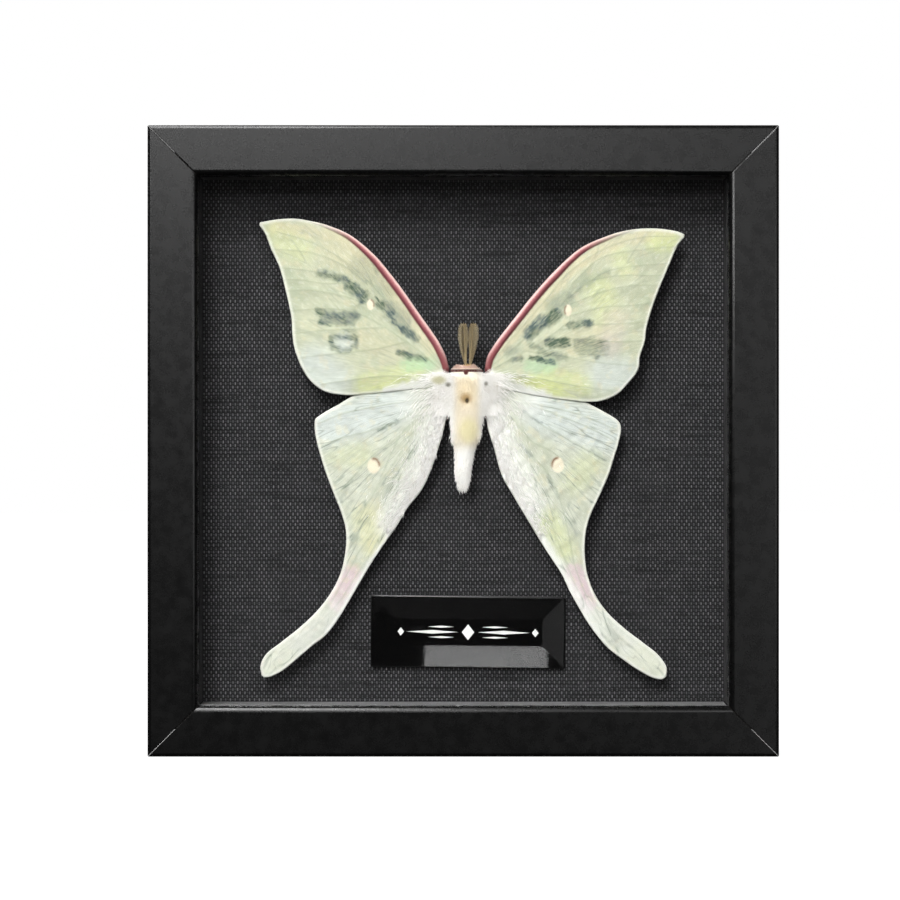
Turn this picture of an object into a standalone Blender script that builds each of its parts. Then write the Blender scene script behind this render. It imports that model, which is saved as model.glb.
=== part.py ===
"""Spread moon moth with tailed wings in a square black box frame, life size, in metres.

The frame stands on its bottom rail. X runs to the right across the front, Y runs from
the front to the back, and Z is up. The origin is the middle of the frame's underside.
"""

import math

import bmesh
import bpy
import numpy as np
from mathutils import Matrix, Vector

MM = 0.001

# Frame
FRAME_SIDE = 150.0 * MM
FRAME_DEPTH = 30.0 * MM
RAIL_FACE = 12.0 * MM
RAIL_WALL = 6.0 * MM
LIP_THICKNESS = 3.0 * MM
LIP_ROUNDING = 2.2 * MM
OUTER_ROUNDING = 0.9 * MM
GAP = 0.3 * MM

# Sheets inside the frame, from the front to the back
GLASS_THICKNESS = 2.0 * MM
CLOTH_DEPTH = 17.0 * MM
CLOTH_THICKNESS = 0.5 * MM
BOARD_THICKNESS = 5.0 * MM
PANEL_THICKNESS = 3.0 * MM

FRONT = -FRAME_DEPTH / 2
BACK = FRAME_DEPTH / 2
MIDDLE = FRAME_SIDE / 2
SHEET_HALF = FRAME_SIDE / 2 - RAIL_WALL - GAP
GLASS_FRONT = FRONT + LIP_THICKNESS + GAP
GLASS_BACK = GLASS_FRONT + GLASS_THICKNESS
CLOTH_FRONT = FRONT + CLOTH_DEPTH
CLOTH_BACK = CLOTH_FRONT + CLOTH_THICKNESS
BOARD_FRONT = CLOTH_BACK + GAP
BOARD_BACK = BOARD_FRONT + BOARD_THICKNESS
PANEL_FRONT = BOARD_BACK + GAP
PANEL_BACK = PANEL_FRONT + PANEL_THICKNESS

# Retaining points and hanger behind the back panel
POINT_SPREAD = 34.0 * MM
POINT_WIDTH = 8.0 * MM
POINT_THICKNESS = 0.6 * MM
POINT_REACH = 5.0 * MM
POINT_DRIVEN = 2.4 * MM
HANGER_LENGTH = 44.0 * MM
HANGER_HEIGHT = 9.0 * MM
HANGER_THICKNESS = 0.9 * MM
HANGER_DROP = 20.0 * MM
HANGER_TEETH = 9
HANGER_TOOTH = 1.3 * MM
HANGER_TOOTHED_SHARE = 0.55
NAIL_SPREAD = 18.0 * MM
NAIL_RADIUS = 0.7 * MM
NAIL_HEAD_RADIUS = 1.7 * MM
NAIL_HEAD = 0.6 * MM
NAIL_DEPTH = 2.0 * MM

# Nameplate
PLATE_WIDTH = 46.8 * MM
PLATE_HEIGHT = 17.4 * MM
PLATE_EDGE = 0.9 * MM
PLATE_SLOPE_WIDTH = 5.5 * MM
PLATE_SLOPE_RISE = 1.6 * MM
PLATE_CENTRE = (1.15 * MM, 28.9 * MM)
PLATE_TILT = math.radians(0.7)

# Moth: the pin is its reference point, and outlines are given in millimetres from the
# pin, outwards along the wing and upwards
PIN_X = 0.85 * MM
PIN_Z = 84.7 * MM
PIN_RADIUS = 0.25 * MM
PIN_FRONT = -6.5 * MM
PIN_BACK = BOARD_FRONT + 3.6 * MM
BODY_Y = -3.0 * MM
FOREWING_Y = -4.0 * MM
HINDWING_Y = -2.75 * MM
ANTENNA_Y = -4.2 * MM
LEG_Y = 1.35 * MM
LEG_RADIUS = 0.3 * MM
MEMBRANE_HALF = 0.25 * MM
RIM_RADIUS = 0.65 * MM
RIM_END = 0.78
TIP_DROOP = 0.5 * MM
DROOP_SPAN = 50.0 * MM
FOREWING_CAMBER = 0.35 * MM
HINDWING_CAMBER = 0.15 * MM
FOREWING_STATIONS = 24
HINDWING_STATIONS = 36
TIP_CROWDING = 1.35
ROUND_SIDES = 16
SMALL_SIDES = 12

# Height above the pin, sideways offset, half width and half depth of the furred body
BODY_RINGS = (
    (9.0, -0.30, 1.00, 1.00),
    (8.6, -0.30, 2.50, 2.20),
    (7.8, -0.20, 3.40, 2.80),
    (7.0, -0.05, 4.15, 3.50),
    (5.5, 0.05, 4.33, 3.80),
    (2.5, 0.05, 4.35, 3.90),
    (-1.0, 0.05, 4.33, 3.90),
    (-4.0, -0.05, 4.20, 3.80),
    (-6.8, -0.20, 3.85, 3.60),
    (-9.0, -0.45, 3.40, 3.30),
    (-10.8, -0.50, 2.80, 2.80),
    (-13.0, -0.65, 2.40, 2.40),
    (-16.5, -0.95, 2.15, 2.10),
    (-19.0, -0.95, 1.65, 1.60),
    (-21.0, -0.95, 0.90, 0.90),
    (-21.7, -0.95, 0.35, 0.35),
)

LEFT_FOREWING = {
    "leading": (
        (4.8, 7.4), (6.0, 11.2), (8.0, 14.4), (11.1, 19.2), (14.9, 24.5), (18.5, 29.5),
        (22.1, 33.9), (26.2, 37.9), (31.4, 41.0), (36.7, 42.8), (41.3, 43.6),
        (45.6, 43.5), (49.7, 42.8),
    ),
    "trailing": (
        (4.8, 3.5), (8.8, 3.1), (16.1, 2.3), (23.3, 1.6), (28.8, 1.4), (34.1, 2.6),
        (38.2, 6.3), (40.9, 11.7), (41.8, 15.8), (42.2, 20.3), (43.7, 27.1),
        (45.0, 31.9), (47.1, 36.5), (48.4, 39.9), (49.8, 42.0),
    ),
}
RIGHT_FOREWING = {
    "leading": (
        (4.8, 8.0), (6.4, 12.0), (9.5, 16.3), (13.2, 20.6), (16.8, 25.0), (21.0, 29.7),
        (25.1, 33.7), (29.4, 36.8), (33.5, 39.1), (37.7, 40.6), (41.9, 41.2),
        (46.0, 41.3), (50.2, 40.7), (52.3, 39.9),
    ),
    "trailing": (
        (4.9, 3.1), (11.6, 2.1), (16.8, 1.1), (22.0, 0.3), (28.3, -0.2), (32.0, 0.2),
        (35.4, 1.6), (37.7, 3.7), (40.8, 7.4), (41.6, 10.5), (42.8, 14.2),
        (43.3, 17.9), (45.0, 23.5), (46.8, 28.2), (48.6, 32.4), (50.5, 36.9),
        (52.2, 39.2),
    ),
}
LEFT_HINDWING = {
    "leading": (
        (4.8, 4.0), (11.3, 5.5), (16.1, 5.3), (20.6, 4.1), (26.8, 1.4), (31.0, -1.0),
        (35.4, -3.6), (36.6, -5.2), (36.1, -9.9), (34.1, -16.2), (31.9, -21.9),
        (29.9, -26.7), (28.9, -31.1), (29.1, -35.4), (30.1, -40.7), (32.2, -45.4),
        (35.6, -50.1), (39.9, -54.3), (44.4, -57.9), (48.1, -60.8), (49.6, -63.6),
        (49.4, -66.0),
    ),
    "trailing": (
        (4.8, 0.2), (5.0, -4.2), (6.2, -9.4), (8.8, -17.3), (11.1, -21.9),
        (14.3, -25.9), (16.9, -30.3), (20.0, -34.7), (23.1, -39.4), (25.7, -43.8),
        (28.8, -49.1), (31.4, -53.3), (34.1, -56.6), (37.2, -59.0), (39.3, -60.8),
        (41.9, -63.1), (44.4, -65.0), (47.1, -66.4), (48.8, -66.6),
    ),
}
RIGHT_HINDWING = {
    "leading": (
        (4.9, 4.0), (11.6, 5.5), (18.8, 4.5), (23.6, 2.3), (28.3, -0.2), (32.7, -2.5),
        (36.2, -4.7), (37.1, -6.7), (36.6, -9.9), (35.4, -13.9), (34.0, -18.2),
        (31.9, -23.0), (29.9, -27.2), (28.7, -31.4), (28.4, -36.5), (29.0, -41.6),
        (30.8, -46.5), (33.9, -51.0), (38.2, -55.0), (42.8, -58.5), (46.0, -61.1),
        (48.0, -64.0), (48.0, -66.4),
    ),
    "trailing": (
        (4.9, -0.3), (4.9, -5.8), (6.4, -11.0), (8.4, -17.9), (11.4, -23.3),
        (14.2, -28.0), (17.5, -33.4), (20.5, -37.8), (23.1, -41.8), (25.1, -45.8),
        (27.2, -49.6), (29.3, -53.3), (31.4, -56.6), (34.0, -59.6), (37.7, -62.4),
        (41.3, -64.9), (44.8, -66.7), (47.0, -67.1),
    ),
}

# Antenna shafts from base to tip, and how far the barbs reach on the outer and inner side
LEFT_ANTENNA = ((-0.35, 9.4), (-0.75, 18.7))
RIGHT_ANTENNA = ((0.95, 9.4), (1.55, 18.7))
ANTENNA_WIDTHS = (
    (0.0, 0.25, 0.20),
    (0.3, 1.20, 0.35),
    (0.6, 1.65, 0.85),
    (0.85, 1.40, 0.90),
    (1.0, 0.60, 0.50),
)
ANTENNA_BARBS = 13
BARB_NOTCH = 0.8
ANTENNA_THICKNESS = 0.3 * MM

# Folded legs, each from the hip over the knee to the foot, outwards and upwards
KNEE_ROUNDING = 0.15
LEG_ROUTES = {
    "fore": ((1.0, 2.6), (3.1, 4.3), (1.9, 7.4)),
    "mid": ((1.3, 0.6), (4.2, 0.1), (4.7, -4.6)),
    "hind": ((1.0, -1.6), (3.0, -3.0), (1.7, -8.0)),
}


def clear_scene():
    """Remove every object that the file starts with."""
    for thing in list(bpy.data.objects):
        bpy.data.objects.remove(thing, do_unlink=True)


def make_collection(name):
    """Add a collection to the scene."""
    collection = bpy.data.collections.new(name)
    bpy.context.scene.collection.children.link(collection)
    return collection


def finish(name, colour, roughness, metallic=0.0):
    """Make a plain Principled material."""
    material = bpy.data.materials.new(name)
    material.use_nodes = True
    shader = material.node_tree.nodes["Principled BSDF"]
    shader.inputs["Base Color"].default_value = (*colour, 1.0)
    shader.inputs["Roughness"].default_value = roughness
    shader.inputs["Metallic"].default_value = metallic
    return material


def add_piece(name, mesh, collection, material):
    """Put a mesh in the scene as a named piece with its own material."""
    piece = bpy.data.objects.new(name, mesh)
    collection.objects.link(piece)
    if material is not None:
        mesh.materials.clear()
        mesh.materials.append(material)
    return piece


def mesh_from(name, shape):
    """Turn a bmesh into a mesh whose faces point outwards."""
    bmesh.ops.recalc_face_normals(shape, faces=shape.faces)
    mesh = bpy.data.meshes.new(name)
    shape.to_mesh(mesh)
    shape.free()
    return mesh


def box_mesh(name, low, high):
    """Make a box between its lowest and highest corners."""
    low, high = Vector(low), Vector(high)
    shape = bmesh.new()
    bmesh.ops.create_cube(shape, size=1.0)
    bmesh.ops.scale(shape, vec=high - low, verts=shape.verts)
    bmesh.ops.translate(shape, vec=(low + high) / 2, verts=shape.verts)
    return mesh_from(name, shape)


def rod_mesh(name, x, z, radius, front, back, sides=ROUND_SIDES):
    """Make a round rod that runs from front to back."""
    shape = bmesh.new()
    turn = Matrix.Rotation(math.radians(90), 4, "X")
    place = Matrix.Translation((x, (front + back) / 2, z)) @ turn
    bmesh.ops.create_cone(
        shape,
        cap_ends=True,
        segments=sides,
        radius1=radius,
        radius2=radius,
        depth=back - front,
        matrix=place,
    )
    return mesh_from(name, shape)


def outline_mesh(name, outline, thickness, place):
    """Fill a flat outline, give it a thickness and move it by a matrix."""
    curve = bpy.data.curves.new(name, "CURVE")
    curve.dimensions = "2D"
    curve.fill_mode = "BOTH"
    curve.extrude = thickness / 2
    spline = curve.splines.new("POLY")
    spline.points.add(len(outline) - 1)
    for point, (x, y) in zip(spline.points, outline):
        point.co = (x, y, 0.0, 1.0)
    spline.use_cyclic_u = True
    return mesh_of_curve(name, curve, place)


def mesh_of_curve(name, curve, place):
    """Make the closed mesh of a curve and move it by a matrix."""
    carrier = bpy.data.objects.new(name + "_curve", curve)
    bpy.context.scene.collection.objects.link(carrier)
    evaluated = carrier.evaluated_get(bpy.context.evaluated_depsgraph_get())
    mesh = bpy.data.meshes.new_from_object(evaluated)
    bpy.data.objects.remove(carrier, do_unlink=True)
    shape = bmesh.new()
    shape.from_mesh(mesh)
    bpy.data.meshes.remove(mesh)
    bmesh.ops.remove_doubles(shape, verts=shape.verts, dist=0.00001)
    bmesh.ops.transform(shape, matrix=place, verts=shape.verts)
    return mesh_from(name, shape)


def loft_mesh(name, rings):
    """Skin a row of closed rings, with an end face on the first and the last."""
    shape = bmesh.new()
    rows = [[shape.verts.new(point) for point in ring] for ring in rings]
    count = len(rows[0])
    for first, second in zip(rows, rows[1:]):
        for index in range(count):
            after = (index + 1) % count
            shape.faces.new((first[index], first[after], second[after], second[index]))
    shape.faces.new(rows[0])
    shape.faces.new(rows[-1])
    return mesh_from(name, shape)


def smooth_piece(piece, angle=35.0):
    """Shade a piece smooth, with edges above an angle kept sharp."""
    piece.data.shade_smooth()
    piece.data.set_sharp_from_angle(angle=math.radians(angle))


def cut(piece, cutter_mesh, cutters):
    """Cut a closed shape out of a piece."""
    cutter = add_piece(piece.name + "_cutter", cutter_mesh, cutters, None)
    cutter.hide_render = True
    cutter.display_type = "WIRE"
    modifier = piece.modifiers.new("cut", "BOOLEAN")
    modifier.operation = "DIFFERENCE"
    modifier.solver = "EXACT"
    modifier.object = cutter


def arc(centre, radius, start, end, steps):
    """Points on an arc between two angles in degrees."""
    angles = [math.radians(start + (end - start) * step / steps) for step in range(steps + 1)]
    return [(centre[0] + radius * math.cos(a), centre[1] + radius * math.sin(a)) for a in angles]


def rail_profile():
    """Section of a rail: inwards from the outer side, then from the back to the front."""
    front, lip_back = -FRONT, -FRONT - LIP_THICKNESS
    outer = arc((OUTER_ROUNDING, front - OUTER_ROUNDING), OUTER_ROUNDING, 180, 90, 3)
    inner = arc((RAIL_FACE - LIP_ROUNDING, front - LIP_ROUNDING), LIP_ROUNDING, 90, 0, 5)
    rebate = [(RAIL_FACE, lip_back), (RAIL_WALL, lip_back), (RAIL_WALL, -BACK)]
    return [(0.0, -BACK), *outer, *inner, *rebate]


def liner_profile():
    """Section of a spacer strip between the glass and the cloth."""
    inside, outside = RAIL_FACE, RAIL_WALL + GAP
    near, far = -(GLASS_BACK + GAP), -(CLOTH_FRONT - GAP)
    return [(outside, far), (outside, near), (inside, near), (inside, far)]


def mitred_mesh(name, profile, quarter_turns):
    """Run a section along the bottom of the square, mitre both ends and turn it in place."""
    stand = Matrix(((0, 0, 1, 0), (0, -1, 0, 0), (1, 0, 0, 0), (0, 0, 0, 1)))
    mesh = outline_mesh(name, profile, FRAME_SIDE, stand)
    shape = bmesh.new()
    shape.from_mesh(mesh)
    bpy.data.meshes.remove(mesh)
    setback = FRAME_SIDE / 2 - GAP * math.sqrt(0.5)
    for side in (-1, 1):
        geometry = shape.verts[:] + shape.edges[:] + shape.faces[:]
        bmesh.ops.bisect_plane(
            shape,
            geom=geometry,
            plane_co=(side * setback, 0, 0),
            plane_no=(side, 0, 1),
            clear_outer=True,
        )
        rim = [edge for edge in shape.edges if edge.is_boundary]
        bmesh.ops.holes_fill(shape, edges=rim)
    centre = Matrix.Translation((0, 0, MIDDLE))
    turn = Matrix.Rotation(-quarter_turns * math.pi / 2, 4, "Y")
    bmesh.ops.transform(shape, matrix=centre @ turn @ centre.inverted(), verts=shape.verts)
    return mesh_from(name, shape)


def point_box(quarter_turns, offset, clearance):
    """Corners of one retaining point, turned to its rail, grown by a clearance."""
    inner = RAIL_WALL + POINT_REACH
    outer = RAIL_WALL - POINT_DRIVEN
    low = Vector((offset - POINT_WIDTH / 2, PANEL_BACK + GAP, outer))
    high = Vector((offset + POINT_WIDTH / 2, PANEL_BACK + GAP + POINT_THICKNESS, inner))
    grow = Vector((clearance, clearance, clearance))
    mesh = box_mesh("point", low - grow, high + grow)
    centre = Matrix.Translation((0, 0, MIDDLE))
    turn = Matrix.Rotation(-quarter_turns * math.pi / 2, 4, "Y")
    mesh.transform(centre @ turn @ centre.inverted())
    return mesh


def build_frame(parts, cutters):
    """Four mitred rails, and the flat steel points that hold the back panel in."""
    for quarter_turns, side in enumerate(("bottom", "right", "top", "left")):
        black = finish("frame_black_" + side, (0.012, 0.012, 0.012), 0.35)
        name = "frame_rail_" + side
        rail = add_piece(name, mitred_mesh(name, rail_profile(), quarter_turns), parts, black)
        smooth_piece(rail)
        for number, offset in enumerate((-POINT_SPREAD, POINT_SPREAD), start=1):
            cut(rail, point_box(quarter_turns, offset, GAP), cutters)
            name = f"retaining_point_{side}_{number}"
            steel = finish(name, (0.55, 0.55, 0.56), 0.35, 1.0)
            add_piece(name, point_box(quarter_turns, offset, 0.0), parts, steel)


def build_glass_and_liner(parts):
    """The pane behind the lip, and the four strips between it and the cloth."""
    clear = finish("clear_glass", (0.9, 0.95, 0.93), 0.02)
    low = (-SHEET_HALF, GLASS_FRONT, MIDDLE - SHEET_HALF)
    high = (SHEET_HALF, GLASS_BACK, MIDDLE + SHEET_HALF)
    add_piece("glass_pane", box_mesh("glass_pane", low, high), parts, clear)
    for quarter_turns, side in enumerate(("bottom", "right", "top", "left")):
        black = finish("liner_black_" + side, (0.02, 0.02, 0.02), 0.5)
        name = "liner_strip_" + side
        add_piece(name, mitred_mesh(name, liner_profile(), quarter_turns), parts, black)


def build_backing(parts, cutters):
    """Cloth, mounting board and back panel, with the holes for the pin and the nails."""
    layers = (
        ("backing_cloth", CLOTH_FRONT, CLOTH_BACK, (0.04, 0.04, 0.042), 0.9),
        ("mounting_board", BOARD_FRONT, BOARD_BACK, (0.8, 0.8, 0.78), 0.8),
        ("back_panel", PANEL_FRONT, PANEL_BACK, (0.36, 0.24, 0.14), 0.7),
    )
    made = {}
    for name, front, back, colour, roughness in layers:
        low = (-SHEET_HALF, front, MIDDLE - SHEET_HALF)
        high = (SHEET_HALF, back, MIDDLE + SHEET_HALF)
        mesh = box_mesh(name, low, high)
        made[name] = add_piece(name, mesh, parts, finish(name, colour, roughness))
    hole = PIN_RADIUS + GAP
    front, back = CLOTH_FRONT - GAP, CLOTH_BACK + GAP
    through = rod_mesh("hole", PIN_X, PIN_Z, hole, front, back, SMALL_SIDES)
    cut(made["backing_cloth"], through, cutters)
    front, back = BOARD_FRONT - GAP, PIN_BACK + GAP
    blind = rod_mesh("hole", PIN_X, PIN_Z, hole, front, back, SMALL_SIDES)
    cut(made["mounting_board"], blind, cutters)
    for side in (-1, 1):
        x, z = side * NAIL_SPREAD, FRAME_SIDE - HANGER_DROP
        front, back = PANEL_BACK - NAIL_DEPTH - GAP, PANEL_BACK + GAP
        blind = rod_mesh("hole", x, z, NAIL_RADIUS + GAP, front, back, SMALL_SIDES)
        cut(made["back_panel"], blind, cutters)


def hanger_outline():
    """Outline of the hanger: a strip with a row of teeth along its lower edge."""
    half, tall = HANGER_LENGTH / 2, HANGER_HEIGHT / 2
    pitch = HANGER_LENGTH * HANGER_TOOTHED_SHARE / HANGER_TEETH
    start = -pitch * HANGER_TEETH / 2
    teeth = []
    for tooth in range(HANGER_TEETH):
        left = start + tooth * pitch
        teeth.append((left, -tall))
        teeth.append((left + pitch / 2, -tall + HANGER_TOOTH))
    teeth.append((start + HANGER_TEETH * pitch, -tall))
    return [(-half, -tall), *teeth, (half, -tall), (half, tall), (-half, tall)]


def build_hanger(parts, cutters):
    """Toothed hanger on the back panel, with its two nails."""
    brass = finish("hanger_metal", (0.6, 0.5, 0.3), 0.35, 1.0)
    front = PANEL_BACK + GAP
    back = front + HANGER_THICKNESS
    height = FRAME_SIDE - HANGER_DROP
    stand = Matrix.Rotation(math.radians(90), 4, "X")
    place = Matrix.Translation((0, (front + back) / 2, height)) @ stand
    mesh = outline_mesh("hanger", hanger_outline(), HANGER_THICKNESS, place)
    hanger = add_piece("hanger", mesh, parts, brass)
    for side, name in ((-1, "hanger_nail_left"), (1, "hanger_nail_right")):
        x = side * NAIL_SPREAD
        radius = NAIL_RADIUS + GAP
        hole = rod_mesh("hole", x, height, radius, front - GAP, back + GAP, SMALL_SIDES)
        cut(hanger, hole, cutters)
        steel = finish(name, (0.5, 0.5, 0.5), 0.3, 1.0)
        add_piece(name, nail_mesh(name, x, height, back + GAP), parts, steel)


def nail_mesh(name, x, z, head_front):
    """A short nail: a turned outline with a flat head at the back."""
    shank_tip = PANEL_BACK - NAIL_DEPTH
    steps = (
        (shank_tip, NAIL_RADIUS * 0.4),
        (shank_tip + NAIL_RADIUS, NAIL_RADIUS),
        (head_front, NAIL_RADIUS),
        (head_front, NAIL_HEAD_RADIUS),
        (head_front + NAIL_HEAD, NAIL_HEAD_RADIUS * 0.8),
    )
    circle = arc((0.0, 0.0), 1.0, 0.0, 360.0, SMALL_SIDES)[:-1]
    rings = []
    for y, radius in steps:
        rings.append([(x + radius * cosine, y, z + radius * sine) for cosine, sine in circle])
    return loft_mesh(name, rings)


def build_nameplate(parts):
    """Black plate with a narrow edge, four wide slopes and a flat field."""
    shape = bmesh.new()
    bmesh.ops.create_cube(shape, size=1.0)
    bmesh.ops.scale(shape, vec=(PLATE_WIDTH, PLATE_EDGE, PLATE_HEIGHT), verts=shape.verts)
    front = min(shape.faces, key=lambda face: face.calc_center_median().y)
    bmesh.ops.inset_region(
        shape,
        faces=[front],
        thickness=PLATE_SLOPE_WIDTH,
        depth=PLATE_SLOPE_RISE,
        use_even_offset=True,
    )
    centre_y = CLOTH_FRONT - GAP - PLATE_EDGE / 2
    place = Matrix.Translation((PLATE_CENTRE[0], centre_y, PLATE_CENTRE[1]))
    turn = Matrix.Rotation(PLATE_TILT, 4, "Y")
    bmesh.ops.transform(shape, matrix=place @ turn, verts=shape.verts)
    gloss = finish("nameplate_gloss", (0.008, 0.008, 0.008), 0.12)
    add_piece("nameplate", mesh_from("nameplate", shape), parts, gloss)


def smooth_edge(points, count):
    """Stations along a smooth curve through the points, closer together near its end."""
    knots = np.array(points, dtype=float)
    padded = np.vstack((2 * knots[0] - knots[1], knots, 2 * knots[-1] - knots[-2]))
    fine = []
    for index in range(len(knots) - 1):
        before, start, end, after = padded[index:index + 4]
        for t in np.linspace(0, 1, 12, endpoint=False):
            bend = (2 * before - 5 * start + 4 * end - after) * t * t
            twist = (3 * start - before - 3 * end + after) * t ** 3
            fine.append(0.5 * (2 * start + (end - before) * t + bend + twist))
    fine.append(knots[-1])
    fine = np.array(fine)
    lengths = np.concatenate(([0.0], np.cumsum(np.linalg.norm(np.diff(fine, axis=0), axis=1))))
    shares = 1 - (1 - np.linspace(0, 1, count)) ** TIP_CROWDING
    stations = shares * lengths[-1]
    columns = [np.interp(stations, lengths, fine[:, column]) for column in range(2)]
    return np.stack(columns, axis=1) * MM


def wing_mesh(name, outline, side, depth, stations, rim, camber):
    """Loft a wing from root to tip: a thin membrane with a rounded leading rim."""
    leading = smooth_edge(outline["leading"], stations)
    trailing = smooth_edge(outline["trailing"], stations)
    rings = []
    for station, (lead, trail) in enumerate(zip(leading, trailing)):
        along = station / (stations - 1)
        chord = float(np.linalg.norm(trail - lead))
        across = (trail - lead) / chord
        bead = max(MEMBRANE_HALF, rim * (1 - along / RIM_END))
        bead = min(bead, chord / 5)
        skin = min(MEMBRANE_HALF, chord / 6)
        inner = np.linspace(2 * bead, chord - skin, 5)
        edge = [(bead * 0.3, bead * 0.7), (bead, bead), (bead * 1.7, bead * 0.7)]
        section = edge + [(distance, skin) for distance in inner]
        front = [(0.0, 0.0)] + [(distance, -half) for distance, half in section]
        rear = [(chord, 0.0)] + [(distance, half) for distance, half in reversed(section)]
        ring = []
        for distance, lift in front + rear:
            outward, upward = lead + across * distance
            bow = camber * math.sin(math.pi * distance / chord)
            droop = TIP_DROOP * (outward / DROOP_SPAN) ** 2
            ring.append((PIN_X + side * outward, depth + lift - bow + droop, PIN_Z + upward))
        rings.append(ring)
    return loft_mesh(name, rings)


def build_wings(parts):
    """Two forewings, lying over two hindwings with long tails."""
    rows = (
        ("forewing_left", LEFT_FOREWING, -1, FOREWING_Y, FOREWING_STATIONS, RIM_RADIUS),
        ("forewing_right", RIGHT_FOREWING, 1, FOREWING_Y, FOREWING_STATIONS, RIM_RADIUS),
        ("hindwing_left", LEFT_HINDWING, -1, HINDWING_Y, HINDWING_STATIONS, MEMBRANE_HALF),
        ("hindwing_right", RIGHT_HINDWING, 1, HINDWING_Y, HINDWING_STATIONS, MEMBRANE_HALF),
    )
    for name, outline, side, depth, stations, rim in rows:
        camber = FOREWING_CAMBER if name.startswith("fore") else HINDWING_CAMBER
        mesh = wing_mesh(name, outline, side, depth, stations, rim, camber)
        wing = add_piece(name, mesh, parts, finish(name, (0.68, 0.74, 0.55), 0.6))
        smooth_piece(wing)


def build_body(parts, cutters):
    """Furred head, thorax and abdomen in one piece, with the hole that the pin fills."""
    circle = arc((0.0, 0.0), 1.0, 0.0, 360.0, ROUND_SIDES)[:-1]
    rings = []
    for up, offset, half_width, half_depth in BODY_RINGS:
        x, z = PIN_X + offset * MM, PIN_Z + up * MM
        wide, deep = half_width * MM, half_depth * MM
        rings.append([(x + wide * cosine, BODY_Y + deep * sine, z) for cosine, sine in circle])
    cream = finish("body_fur", (0.83, 0.78, 0.66), 0.9)
    body = add_piece("body", loft_mesh("body", rings), parts, cream)
    smooth_piece(body, 60.0)
    radius = PIN_RADIUS + GAP
    bore = rod_mesh("bore", PIN_X, PIN_Z, radius, GLASS_BACK, CLOTH_FRONT, SMALL_SIDES)
    cut(body, bore, cutters)
    steel = finish("pin_steel", (0.3, 0.3, 0.3), 0.3, 1.0)
    pin = rod_mesh("pin", PIN_X, PIN_Z, PIN_RADIUS, PIN_FRONT, PIN_BACK, SMALL_SIDES)
    add_piece("pin", pin, parts, steel)


def antenna_outline(shaft, side):
    """Serrated leaf outline of a feathered antenna, up one side and down the other."""
    base, tip = np.array(shaft[0]), np.array(shaft[1])
    stops, outer, inner = zip(*ANTENNA_WIDTHS)
    points = []
    for direction, widths in ((1, outer), (-1, inner)):
        row = []
        for step in range(2 * ANTENNA_BARBS + 1):
            t = step / (2 * ANTENNA_BARBS)
            reach = float(np.interp(t, stops, widths))
            if step % 2 == 0:
                reach *= BARB_NOTCH
            middle = base + (tip - base) * t
            row.append(((middle[0] + direction * side * reach) * MM, middle[1] * MM))
        points += row if direction == 1 else row[::-1]
    return points


def build_antennae(parts):
    """Two feathered antennae, standing up side by side from the head."""
    stand = Matrix.Rotation(math.radians(90), 4, "X")
    place = Matrix.Translation((PIN_X, ANTENNA_Y, PIN_Z)) @ stand
    rows = (("antenna_left", LEFT_ANTENNA, -1), ("antenna_right", RIGHT_ANTENNA, 1))
    for name, shaft, side in rows:
        outline = antenna_outline(shaft, side)
        mesh = outline_mesh(name, outline, ANTENNA_THICKNESS, place)
        add_piece(name, mesh, parts, finish(name, (0.35, 0.25, 0.14), 0.8))


def leg_mesh(name, route, side):
    """A folded leg: a thin tube with a rounded knee."""
    hip, knee, foot = (np.array(point) for point in route)
    curve = bpy.data.curves.new(name, "CURVE")
    curve.dimensions = "3D"
    curve.bevel_depth = LEG_RADIUS
    curve.bevel_resolution = 1
    curve.use_fill_caps = True
    before = knee + (hip - knee) * KNEE_ROUNDING
    after = knee + (foot - knee) * KNEE_ROUNDING
    softened = (hip, before, after, foot)
    spline = curve.splines.new("POLY")
    spline.points.add(len(softened) - 1)
    for point, (outward, upward) in zip(spline.points, softened):
        point.co = (PIN_X + side * outward * MM, LEG_Y, PIN_Z + upward * MM, 1.0)
    return mesh_of_curve(name, curve, Matrix.Identity(4))


def build_legs(parts):
    """Six legs folded between the thorax and the cloth."""
    for side, word in ((-1, "left"), (1, "right")):
        for pair, route in LEG_ROUTES.items():
            name = f"leg_{pair}_{word}"
            brown = finish(name, (0.3, 0.16, 0.14), 0.7)
            smooth_piece(add_piece(name, leg_mesh(name, route, side), parts, brown))


def main():
    """Build the whole framed moth."""
    clear_scene()
    parts = make_collection("framed_moon_moth")
    cutters = make_collection("cutters")
    build_frame(parts, cutters)
    build_glass_and_liner(parts)
    build_backing(parts, cutters)
    build_hanger(parts, cutters)
    build_nameplate(parts)
    build_body(parts, cutters)
    build_wings(parts)
    build_antennae(parts)
    build_legs(parts)


main()
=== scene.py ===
"""Spread moon moth in a square black box frame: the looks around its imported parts.

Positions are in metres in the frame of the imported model: X to the right across the front,
Y from the glazed front to the back, Z up. The moth's outlines, veins and marks are given
in millimetres from the pin, outwards along the wing and upwards.
"""

import logging
import math
from collections.abc import Iterable, Sequence
from dataclasses import dataclass, field
from enum import Enum
from functools import partial

import bmesh
import bpy
import numpy as np
from mathutils import Matrix, Vector, geometry

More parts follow.
